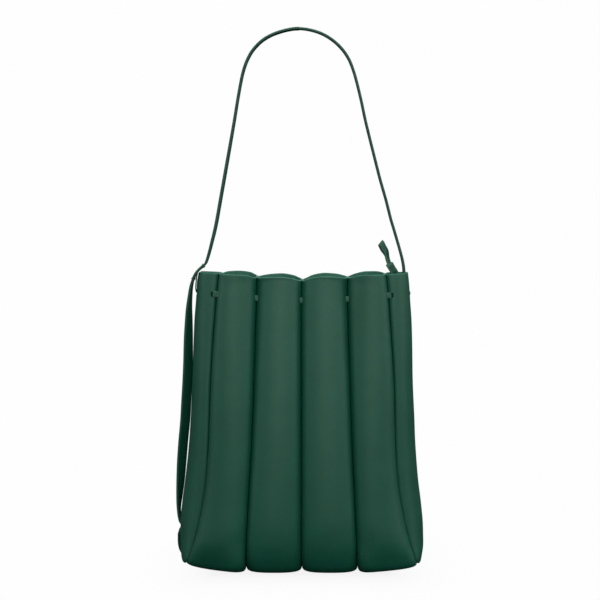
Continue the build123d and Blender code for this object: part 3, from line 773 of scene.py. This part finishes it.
# Slots across a gusset's tip line: centre, through direction, length, height, depth
TIP_SLOTS = {
    LEFT: [((-104, 0, 277.0), (1, 0, 0), 8.4, 2.2, 8.0),
           ((-122.5, 0, 41.6), (1, 0, 0), 13.4, 3.0, 8.0),
           ((-122.5, 0, 35.2), (1, 0, 0), 13.4, 3.0, 8.0),
           ((-122.6, 0, 12.2), (1, 0, -0.6), 13.4, 3.0, 5.0)],
    RIGHT: [((108, 0, 277.4), (1, 0, 0), 13.4, 2.6, 8.0),
            ((123, 0, 42.0), (1, 0, 0), 13.4, 2.6, 8.0)]}


def build_wall(side, label):
    outer, wear = wall_grid(0.0, side)
    inner, _ = wall_grid(LEATHER, side)
    wall = shell(label + "_wall_skin", placed(outer, side), placed(inner, side), wear)
    cut(wall, [slot_cutter(placed((x + shift, LACE_Y(x), LACE_Z(x)), side), (0, 1, 0), (1, 0, 0),
                           length=length, height=6.2, depth=depth)
               for x, shift, length, depth in WALL_SLOTS])
    blend(wall, (label + "_panel", "base_panel"))


def build_gusset_half(hand, hand_label, side, label):
    outer, wear = gusset_grid(hand, 0.0, side)
    inner, _ = gusset_grid(hand, LEATHER, side)
    gusset = shell(hand_label + "_gusset_" + label + "_half",
                   placed(outer, side), placed(inner, side), wear)
    cutters = [slot_cutter(placed(GUSSET_LACE_SLOT[hand], side), (1, 0, 0), (0, 1, 0),
                           length=3.8, height=6.0, depth=9.0)]
    cutters += [slot_cutter(centre, (0, 1, 0), through, length, height, depth)
                for centre, through, length, height, depth in TIP_SLOTS[hand]]
    cut(gusset, cutters)
    blend(gusset, (hand_label + "_gusset",))


for side, label in SIDES:
    build_wall(side, label)
for hand, hand_label in HANDS:
    for side, label in SIDES:
        build_gusset_half(hand, hand_label, side, label)

# ---------------------------------------------------------------- build: lace
LACE_THICK = 1.3
LACE_RADIUS = 0.4
LACE_LEAN = math.radians(-8.0)
# Ends of the front lace beyond the wall, and its runs inside each gusset
LACE_LEFT_END = [(-94.4, -9.4, 278.0), (-91.8, -11.8, 278.0), (-89.2, -14.6, 278.0),
                 (-87.0, -17.5, 278.0)]
LACE_RIGHT_END = [(88.2, -17.5, 276.7), (90.2, -14.8, 276.6), (92.0, -12.0, 276.5),
                  (93.2, -9.4, 276.3)]
LEFT_LACE = [(-94.3, -9.6, 278.0), (-95.8, -7.2, 277.8), (-97.0, -4.0, 277.5), (-97.4, 0, 277.4)]
RIGHT_LACE = [(93.1, -9.6, 276.3), (93.8, -7.8, 276.2), (93.9, -6.0, 276.3), (93.4, -4.2, 276.8)]


def build_laces(side, label):
    x = np.linspace(-84, 84, 120)[::6]
    course = np.vstack([LACE_LEFT_END, np.stack([x, LACE_Y(x), LACE_Z(x)], 1), LACE_RIGHT_END])
    across = (0, side * math.sin(LACE_LEAN), math.cos(LACE_LEAN))
    lace = band(label + "_lace", curve_through(placed(course, side), 200), across,
                5.4, LACE_THICK, LACE_RADIUS, LACE_MATS)
    ride(lace, "drawstring_" + label + "_run", label + "_wall")
    for hand_label, points, node in (
            ("left", LEFT_LACE, "drawstring_left_run"),
            ("right", RIGHT_LACE, "drawstring_right_" + label + "_run")):
        path = placed(curve_through(points, 24), side)
        run = band(hand_label + "_lace_" + label, path, (0, -side * 0.14, 0.99),
                   4.9, LACE_THICK, LACE_RADIUS, LACE_MATS)
        blend(run, (node,))


for side, label in SIDES:
    build_laces(side, label)

# ------------------------------------------------- build: lace loop and slider
# The lace comes up doubled, leans over through the slider, turns its flat side
# to the front and ends in a soft fold.
AXIS = curve_through([
    (93.4, 0, 278.0), (94.4, 0, 284.0), (94.4, 0, 291.0), (93.0, 0, 297.0),
    (90.2, 0, 301.8), (87.5, 0, 306.4), (86.0, 0, 310.4), (85.0, 0, 314.6),
    (83.6, -0.4, 318.4), (81.4, -0.8, 322.0), (79.6, -1.0, 325.6), (78.2, -1.0, 327.8)], 121)
AXIS_TANGENT = unit(np.gradient(AXIS, axis=0))
AXIS_RIGHT = unit(np.cross(AXIS_TANGENT, (0, -1.0, 0)))
AXIS_ALONG = distances(AXIS)
NECK_AT = float(np.interp(309.0, AXIS[:, 2], AXIS_ALONG))
TOP_AT = float(AXIS_ALONG[-1])
FOLD_AT = TOP_AT - 2.2
FOLD_DEPTH = 1.75


def axis_at(s):
    """Position, tangent and rightward direction at length s along the axis."""
    return (interpolate(s, AXIS_ALONG, AXIS),
            unit(interpolate(s, AXIS_ALONG, AXIS_TANGENT)),
            unit(interpolate(s, AXIS_ALONG, AXIS_RIGHT)))


def loop_frame(s):
    """Axis position, tangent, width direction, strand direction and half gap."""
    centre, tangent, right = axis_at(s)
    turn = math.radians(6.0 + 23.0 * float(step(NECK_AT - 6.0, NECK_AT - 1.0, s))
                        + 40.0 * float(step(NECK_AT + 3.5, TOP_AT - 5.0, s)))
    across = np.array([0, 1.0, 0]) * math.cos(turn) + right * math.sin(turn)
    half_gap = 0.64 + 1.3 * float(step(NECK_AT + 4, TOP_AT - 5, s))
    return centre, tangent, across, unit(np.cross(across, tangent)), half_gap


def loop_course():
    """The lace's centre and width direction, up one strand and down the other."""
    strands = []
    for strand in (-1, 1):
        run = []
        for s in np.linspace(0, FOLD_AT, 64):
            centre, _, across, apart, half_gap = loop_frame(s)
            run.append((centre + apart * half_gap * strand, across))
        strands.append(run)
    centre, tangent, across, apart, half_gap = loop_frame(FOLD_AT)
    fold = [(centre + apart * (-half_gap * math.cos(angle))
             + tangent * (FOLD_DEPTH * math.sin(angle)), across)
            for angle in np.linspace(0, math.pi, 11)[1:-1]]
    course = strands[0] + fold + strands[1][::-1]
    return np.array([p for p, _ in course]), np.array([w for _, w in course])


def build_loop():
    path, across = loop_course()
    loop = band("lace_loop", path, across, 6.1, 1.15, 0.42, LACE_MATS)
    # the folded end is pulled a little lower on its left
    verts = np.zeros(len(loop.data.vertices) * 3)
    loop.data.vertices.foreach_get("co", verts)
    verts = verts.reshape(-1, 3) / MM
    centre, tangent, right = axis_at(TOP_AT - 3)
    offset = verts - centre
    pull = (offset @ right) * 0.34 * step(-9.0, 1.0, offset @ tangent)
    verts += tangent * pull[:, None]
    loop.data.vertices.foreach_set("co", (verts * MM).reshape(-1))
    loop.data.update()
    ride(loop, "drawstring_loop", "lace_loop")


SLIDER_WIDTH, SLIDER_THICK = 8.4, 7.6      # along y, and across the lace
SLIDER_HOLE = (7.1, 6.3)
SLIDER_Z = (296.9, 306.5)


def build_slider():
    """Leather sleeve: a rounded rectangular tube with soft ends."""
    low, high = (float(np.interp(z, AXIS[:, 2], AXIS_ALONG)) for z in SLIDER_Z)
    middle = (low + high) / 2
    outer = np.array(rounded_section(SLIDER_WIDTH, SLIDER_THICK, 1.7, 6))
    inner = np.array(rounded_section(*SLIDER_HOLE, 0.5, 6))
    # rings: surface, length along the axis, growth of the outer section
    profile = [("inner", low, 0.0), ("edge", low, 0.0), ("outer", low + 0.3, 0.0),
               ("outer", middle - 2.4, -0.10), ("outer", middle, -0.16),
               ("outer", middle + 2.4, -0.10), ("outer", high - 0.3, 0.05),
               ("edge", high, 0.0), ("inner", high, 0.0), ("inner", middle, 0.0)]
    verts = []
    for surface, s, growth in profile:
        if surface == "outer":
            section = outer * np.array([1 + 2 * growth / SLIDER_WIDTH,
                                        1 + 2 * growth / SLIDER_THICK])
        elif surface == "inner":
            section = inner
        else:
            section = outer * 0.6 + inner * 0.4
        centre, _, right = axis_at(s)
        verts += [centre + right * b + np.array([0, a, 0]) for a, b in section]
    # a strip of painted highlight, in the lace's pale edge colour, runs down the front left
    # corner
    middles = (outer + np.roll(outer, -1, axis=0)) / 2
    strip = (middles[:, 0] < -SLIDER_WIDTH / 2 + 1.9) & (middles[:, 1] < -0.6)
    size = len(outer)
    faces, index = [], []
    for k, (surface, _, _) in enumerate(profile):
        following = (k + 1) % len(profile)
        faces += bridge(ring_ids(k, size), ring_ids(following, size))
        surfaces = {surface, profile[following][0]}
        if surfaces == {"outer"}:
            index += np.where(strip, CUT, OUTER).tolist()
        else:
            index += [INNER if surfaces == {"inner"} else CUT] * size
    slider = new_mesh("slider_sleeve", verts, faces, [STRAP, LACE_EDGE_AND_HIGHLIGHT, INSIDE], index, sharp=50)
    ride(slider, "cord_slider", "slider")


build_loop()
build_slider()

# --------------------------------------------------------------- build: strap
# The arch from left to right, as (x, z)
ARCH = [
    (-94.5, 310.1), (-91.5, 320.1), (-88.9, 330.1), (-86.4, 340.0), (-84.3, 350.0),
    (-80.7, 369.8), (-77.1, 389.5), (-73.5, 409.2), (-69.9, 428.8), (-66.4, 448.3),
    (-63.1, 467.8), (-59.4, 487.2), (-57.0, 496.9), (-53.4, 506.5), (-47.6, 516.2),
    (-37.7, 525.8), (-24.0, 532.6), (-3.5, 536.6), (16.5, 533.0), (29.9, 525.8),
    (40.2, 516.2), (46.6, 506.5), (50.5, 496.9), (53.5, 487.2), (58.4, 467.8),
    (62.7, 448.3), (67.6, 428.8), (72.7, 409.2), (77.9, 389.5), (83.7, 369.8),
    (88.9, 350.0), (92.0, 340.0), (95.0, 330.1), (97.9, 320.1), (100.5, 310.1)]
ARCH_LEFT_SHIFT = 0.4      # added to the arch's x on its left half
# The right end from the arch down, as (x, z)
RIGHT_END = [(101.9, 302.0), (102.1, 296.0), (101.6, 289.0), (101.6, 282.4), (103.4, 278.6),
             (106.0, 277.5), (108.0, 277.4)]
# The left run from the arch down, as (x, z, turn in degrees)
LEFT_RUN = [
    (-95.6, 306.6, 0), (-97.8, 304.3, 0), (-101.9, 300.9, 0), (-105.3, 296.9, 0),
    (-107.9, 291.4, 0), (-110.0, 284.0, 4), (-111.5, 273.0, 10), (-112.5, 262.0, 18),
    (-112.9, 250.0, 27), (-113.5, 230.0, 38), (-114.0, 209.0, 42), (-114.9, 189.0, 44),
    (-116.2, 168.0, 46), (-117.5, 148.0, 46), (-119.6, 127.0, 45), (-121.3, 107.0, 42),
    (-122.8, 86.0, 33), (-124.2, 68.0, 18), (-124.8, 58.0, 7), (-124.5, 50.5, 2),
    (-123.4, 44.5, 0), (-121.0, 40.4, 0), (-120.6, 38.3, 0), (-122.0, 36.2, 0),
    (-124.5, 32.0, 0), (-125.0, 26.5, 0), (-124.7, 20.0, 0), (-123.4, 14.6, 0),
    (-121.2, 11.2, 0), (-118.2, 10.2, 0)]


def build_strap():
    stations = [(x, z, 0.0) for x, z in reversed(RIGHT_END)]
    stations += [(x + ARCH_LEFT_SHIFT * (x < 0), z, 0.0) for x, z in reversed(ARCH)]
    x, z, turn = curve_through(stations + LEFT_RUN, 640).T
    # the arch sways and turns slowly
    in_arch = step(309, 330, z)
    y = 1.2 * np.sin((z - 300) * 0.020 + x * 0.012) * in_arch
    path = np.stack([x, y, z], 1)
    sideways = unit(np.cross(unit(np.gradient(path, axis=0)), (0, 1.0, 0)))
    rightward = sideways * np.where(sideways[:, :1] > 0, 1, -1)
    arch_turn = in_arch * np.radians(
        np.where(x < -4, 3.9 - 2.4 * step(395, 455, z), 1.5 - 1.2 * step(10, 40, x)))
    arch_turn = np.convolve(np.pad(arch_turn, 12, mode="edge"), np.ones(25) / 25, "valid")
    angle = (np.radians(turn) + arch_turn)[:, None]
    across = np.array([0, 1.0, 0]) * np.cos(angle) + rightward * np.sin(angle)
    # thinner through the keeper and at the lower end
    in_keeper = step(-96.0, -98.5, x) * step(290.0, 293.0, z)
    thinning = 1.0 - 0.32 * in_keeper - 0.22 * step(33.0, 28.0, z)
    # the strap's back face takes the dark painted-shade colour
    strap = band("shoulder_strap_band", path, across, 12.0, 2.5, 0.8,
                 [STRAP, STRAP_EDGE, STRAP_BACK_SHADED], thinning)
    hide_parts("shoulder_strap", "strap_right_end", "strap_lower_run")
    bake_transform(strap)


# Centre lines at y = 0, as (x, y, z)
KEEPER_LINE = [(-97.5, 0, 304.6), (-98.8, 0, 303.5), (-101.9, 0, 300.9), (-105.3, 0, 296.9),
               (-107.4, 0, 292.7), (-108.0, 0, 291.2)]
TAB_LINE = [(-103.7, 0, 297.0), (-104.5, 0, 294.2), (-105.0, 0, 290.0), (-105.5, 0, 285.0),
            (-105.5, 0, 280.8), (-104.4, 0, 277.8), (-101.2, 0, 276.9)]
KEEPER_WIDTH, KEEPER_THICK, KEEPER_WALL = 13.8, 2.8, 0.45
KEEPER_FLARE = 0.65


def build_keeper():
    """Sleeve round the strap, flared at both ends."""
    path = curve_through(KEEPER_LINE, 22)
    across = np.array([0, 1.0, 0])
    through = np.cross(unit(np.gradient(path, axis=0)), across)
    hole = KEEPER_THICK - 2 * KEEPER_WALL
    outer = rounded_section(KEEPER_WIDTH, KEEPER_THICK, KEEPER_THICK * 0.4, 5)
    inner = rounded_section(KEEPER_WIDTH - 2 * KEEPER_WALL, hole, hole * 0.35, 5)
    size, rings = len(outer), len(path)
    verts = []
    for k in range(rings):
        from_end = min(k, rings - 1 - k)
        flare = 1 + KEEPER_FLARE * max(0.0, 1 - from_end / 2) * 2 / KEEPER_THICK
        verts += [path[k] + across * a + through[k] * (b * flare) for a, b in outer]
    for k in range(rings):
        verts += [path[k] + across * a + through[k] * b for a, b in inner]
    start = rings * size
    faces, index = [], []
    for k in range(rings - 1):
        faces += bridge(ring_ids(k, size), ring_ids(k + 1, size))
        faces += [(a, d, c, b) for a, b, c, d in
                  bridge(ring_ids(k, size, start), ring_ids(k + 1, size, start))]
        index += [OUTER] * size + [INNER] * size
    for k in (0, rings - 1):
        faces += bridge(ring_ids(k, size), ring_ids(k, size, start))
        index += [CUT] * size
    keeper = new_mesh("keeper_sleeve", verts, faces, STRAP_MATS, index, sharp=50)
    ride(keeper, "strap_keeper", "bag_base")


def build_strip(name, node, points, count, across, width, thick, radius, mats=STRAP_MATS):
    """A small strip of leather that stays with the base."""
    strip = band(name, curve_through(points, count), across, width, thick, radius, mats)
    ride(strip, node, "bag_base")


build_strap()
build_keeper()
build_strip("keeper_tab_strip", "keeper_tab", TAB_LINE, count=40,
            across=(0, 1, 0), width=7.0, thick=0.8, radius=0.3, mats=[STRAP, EDGE, INSIDE])
build_strip("tab_cross_bar", "keeper_tab_bar",
            [(-100.1, -5.2, 276.9), (-99.9, 0, 277.1), (-100.1, 5.2, 276.9)], count=16,
            across=(0, 0, 1), width=5.4, thick=1.3, radius=0.5)
build_strip("strap_end_bar", "strap_right_stop",
            [(107.8, -6.6, 277.3), (108.3, 0, 277.4), (107.8, 6.6, 277.3)], count=20,
            across=(0, 0, 1), width=3.0, thick=0.9, radius=0.5)

# ----------------------------------------------------------- build: stitching
STITCH_PITCH = 5.0
STITCH_LENGTH = 4.2
STITCH_SIDES = 7
STITCH_RADII = 0.33 * np.array([0.35, 0.9, 1.0, 1.0, 0.9, 0.35])
STITCH_Z = (26, 266)       # lowest and highest stitches
STITCH_INSET = FIN - 0.9   # from the foot line towards the inside
STITCH_OUT = GAP + LEATHER + 0.28


def build_stitches(name, runs, node, body):
    """Separate tapered lengths of thread along each run."""
    verts, faces = [], []
    rings = len(STITCH_RADII)
    for run in runs:
        along = distances(run)
        start = 0.0
        while start + STITCH_LENGTH < along[-1]:
            p = interpolate(np.linspace(start, start + STITCH_LENGTH, rings), along, run)
            tangent = unit(p[-1] - p[0])
            a = unit(np.cross(tangent, (0.3, 0.2, 0.9)) + 1e-6)
            b = np.cross(tangent, a)
            first = len(verts)
            for k in range(rings):
                for j in range(STITCH_SIDES):
                    angle = 2 * math.pi * j / STITCH_SIDES
                    spoke = a * math.cos(angle) + b * math.sin(angle)
                    verts.append(p[k] + spoke * STITCH_RADII[k])
            ids = [ring_ids(k, STITCH_SIDES, first) for k in range(rings)]
            for lower, upper in zip(ids, ids[1:]):
                faces += bridge(lower, upper)
            faces += [tuple(ids[0]), tuple(reversed(ids[-1]))]
            start += STITCH_PITCH
    ride(new_mesh(name, verts, faces, [THREAD], sharp=None), node, body)


def fin_run(foot, hand, side):
    """Stitch line on the fin of a foot line, on its hand side."""
    run = foot - outward(foot) * STITCH_INSET + np.array([hand * STITCH_OUT, 0, 0])
    return placed(run[(foot[:, 2] > STITCH_Z[0]) & (foot[:, 2] < STITCH_Z[1])], side)


feet = foot_lines()
for side, label in SIDES:
    body = label + "_wall"
    pleats = [fin_run(foot, hand, side) for foot in feet[1:4] for hand in (LEFT, RIGHT)]
    build_stitches(label + "_pleat_threads", pleats, label + "_pleat_stitching", body)
    if label + "_side_stitching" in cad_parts:
        seams = [fin_run(feet[0], RIGHT, side), fin_run(feet[4], LEFT, side)]
        build_stitches(label + "_side_threads", seams, label + "_side_stitching", body)

# --------------------------------------------------------- build: base board
BOARD_LENGTH, BOARD_WIDTH, BOARD_RADIUS = 202.0, 67.0, 14.0
# Rings of the board's edge: scale, z
BOARD_RINGS = [(0.985, 9.6), (1.0, 9.95), (1.0, 11.25), (0.985, 11.6)]


def build_board():
    """Stiffener inside the bag: a thin rounded plate, slightly uneven."""
    outline = np.array(rounded_section(BOARD_LENGTH, BOARD_WIDTH, BOARD_RADIUS, 8))
    n = len(outline)
    verts, faces = [], []

    def add_ring(points, z):
        first = len(verts)
        for x, y in points:
            lift = 0.25 * math.cos(x * 0.03 + 0.4) * (1 - (y / (BOARD_WIDTH / 2)) ** 2)
            verts.append((x, y, z + lift))
        return range(first, len(verts))

    rings = [add_ring(outline * scale, z) for scale, z in BOARD_RINGS]
    for lower, upper in zip(rings, rings[1:]):
        faces += bridge(lower, upper)
    for outside, z in ((rings[0], BOARD_RINGS[0][1]), (rings[-1], BOARD_RINGS[-1][1])):
        for scale in (0.66, 0.33):
            inside = add_ring(outline * scale, z)
            faces += bridge(outside, inside)
            outside = inside
        middle = add_ring([(0, 0)], z)[0]
        faces += [(outside[j], outside[(j + 1) % n], middle) for j in range(n)]
    board = new_mesh("base_stiffener", verts, faces, [BOARD], sharp=40)
    ride(board, "base_board", "bag_base")


build_board()

# CAD stitching that stays, in the thread's material
for name in ("left_seam_stitching", "right_seam_stitching"):
    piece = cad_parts.get(name)
    if piece is not None:
        piece.data.materials.clear()
        piece.data.materials.append(THREAD)

# ------------------------------------------------------------ floor and world
WHITE = (1, 1, 1, 1)
BACKDROP = 0.99            # brightness of floor and surroundings as the camera sees them


def camera_switch(tree, output_kind, lighting, seen):
    """Shows the camera one shader and everything else another."""
    is_camera = add_node(tree, "LightPath").outputs["Is Camera Ray"]
    mix = add_node(tree, "MixShader", {0: is_camera, 1: lighting.outputs[0], 2: seen.outputs[0]})
    add_node(tree, output_kind, {"Surface": mix.outputs[0]})


def floor_material():
    """Seen as plain white, with a faint shadow painted into its glow at the bag's foot; reflects
    almost nothing.
    """
    material, tree = new_material("floor_white")
    tree.nodes.clear()
    position = add_node(tree, "TexCoord").outputs["Object"]
    xyz = add_node(tree, "SeparateXYZ", {0: position}).outputs

    def beyond(axis, half_size):
        distance = calc(tree, "SUBTRACT", calc(tree, "ABSOLUTE", xyz[axis]), half_size)
        return calc(tree, "MAXIMUM", distance, 0.0)

    dx, dy = beyond("X", half_size=0.085), beyond("Y", half_size=0.035)
    squares = calc(tree, "ADD", calc(tree, "MULTIPLY", dx, dx), calc(tree, "MULTIPLY", dy, dy))
    # the painted shadow starts at 0.11 and dies away over some 22 mm
    fall = calc(tree, "DIVIDE", calc(tree, "SQRT", squares), -0.022)
    painted_shadow = calc(tree, "MULTIPLY", calc(tree, "POWER", 2.718, fall), 0.11)
    dark = add_node(tree, "BsdfDiffuse", {"Color": (0.012, 0.012, 0.012, 1)})
    white = add_node(tree, "Emission", {"Color": WHITE,
                                        "Strength": calc(tree, "SUBTRACT", BACKDROP, painted_shadow)})
    camera_switch(tree, "OutputMaterial", dark, white)
    return material


def build_floor():
    half, z = 6, -0.0005
    mesh = bpy.data.meshes.new("floor")
    mesh.from_pydata([(-half, -half, z), (half, -half, z), (half, half, z), (-half, half, z)],
                     [], [(0, 1, 2, 3)])
    mesh.materials.append(floor_material())
    floor = bpy.data.objects.new("floor", mesh)
    bpy.context.scene.collection.objects.link(floor)


def build_world():
    """A bright band above the horizon, strongest to front and back."""
    world = bpy.data.worlds.new("studio")
    bpy.context.scene.world = world
    world.use_nodes = True
    tree = world.node_tree
    tree.nodes.clear()
    direction = add_node(tree, "TexCoord").outputs["Generated"]
    xyz = add_node(tree, "SeparateXYZ", {0: direction}).outputs
    # the band climbs from z = 0 and is gone at z = 0.68
    rising = calc(tree, "DIVIDE", xyz["Z"], 0.3)
    falling = calc(tree, "DIVIDE", calc(tree, "SUBTRACT", 0.68, xyz["Z"]), 0.38)
    height = calc(tree, "MAXIMUM", calc(tree, "MINIMUM", rising, falling), 0.0)
    # half strength to the sides, full strength along y
    ahead = calc(tree, "MULTIPLY_ADD", calc(tree, "MULTIPLY", xyz["Y"], xyz["Y"]), 0.5, 0.5)
    # peak 1.25 over a floor of 0.02
    strength = calc(tree, "MULTIPLY_ADD", calc(tree, "MULTIPLY", height, ahead), 1.25, 0.02)
    lighting = add_node(tree, "Background", {"Color": WHITE, "Strength": strength})
    seen = add_node(tree, "Background", {"Color": WHITE, "Strength": BACKDROP})
    camera_switch(tree, "OutputWorld", lighting, seen)


# ---------------------------------------------------------- lights and camera
# Area lights: name, location, aimed at, (width, height), power in watts
LIGHTS = [
    ("key_right", (1.4, -1.8, 1.6), (0, 0, 0.2), (1.0, 0.9), 6.6),
    ("front_mid", (0.0, -2.3, 1.1), (0, 0, 0.2), (1.4, 0.8), 9.9),
    ("top", (0.0, -0.25, 2.2), (0, 0, 0.2), (1.4, 1.2), 28),
    ("rim_right", (2.0, -0.5, 0.8), (0.05, 0, 0.2), (0.6, 1.4), 7.5),
    ("rim_left", (-2.0, -0.5, 0.8), (-0.05, 0, 0.2), (0.6, 1.4), 5.5),
    ("back_top", (0.0, 1.2, 1.7), (0, 0, 0.25), (1.6, 0.8), 14),
]
CAMERA_DISTANCE = 1.3
CAMERA_PITCH = math.radians(6.6)
CAMERA_AIM = (-0.0015, 0, 0.270)


def build_light(name, location, target, size, power):
    data = bpy.data.lights.new(name, "AREA")
    data.shape = "RECTANGLE"
    data.size, data.size_y = size
    data.energy = power
    light = bpy.data.objects.new(name, data)
    light.location = location
    aim = Vector(target) - Vector(location)
    light.rotation_euler = aim.to_track_quat("-Z", "Y").to_euler()
    bpy.context.scene.collection.objects.link(light)


def build_camera():
    data = bpy.data.cameras.new("camera")
    data.sensor_width = 36.0
    data.lens = 78.0
    data.clip_start, data.clip_end = 0.01, 60
    camera = bpy.data.objects.new("camera", data)
    x, y, z = CAMERA_AIM
    camera.location = (x, y - CAMERA_DISTANCE * math.cos(CAMERA_PITCH),
                       z + CAMERA_DISTANCE * math.sin(CAMERA_PITCH))
    camera.rotation_euler = (math.radians(90) - CAMERA_PITCH, 0, 0)
    scene = bpy.context.scene
    scene.collection.objects.link(camera)
    scene.camera = camera
    scene.view_settings.view_transform = "Standard"
    scene.view_settings.look = "None"


build_floor()
build_world()
for light in LIGHTS:
    build_light(*light)
build_camera()
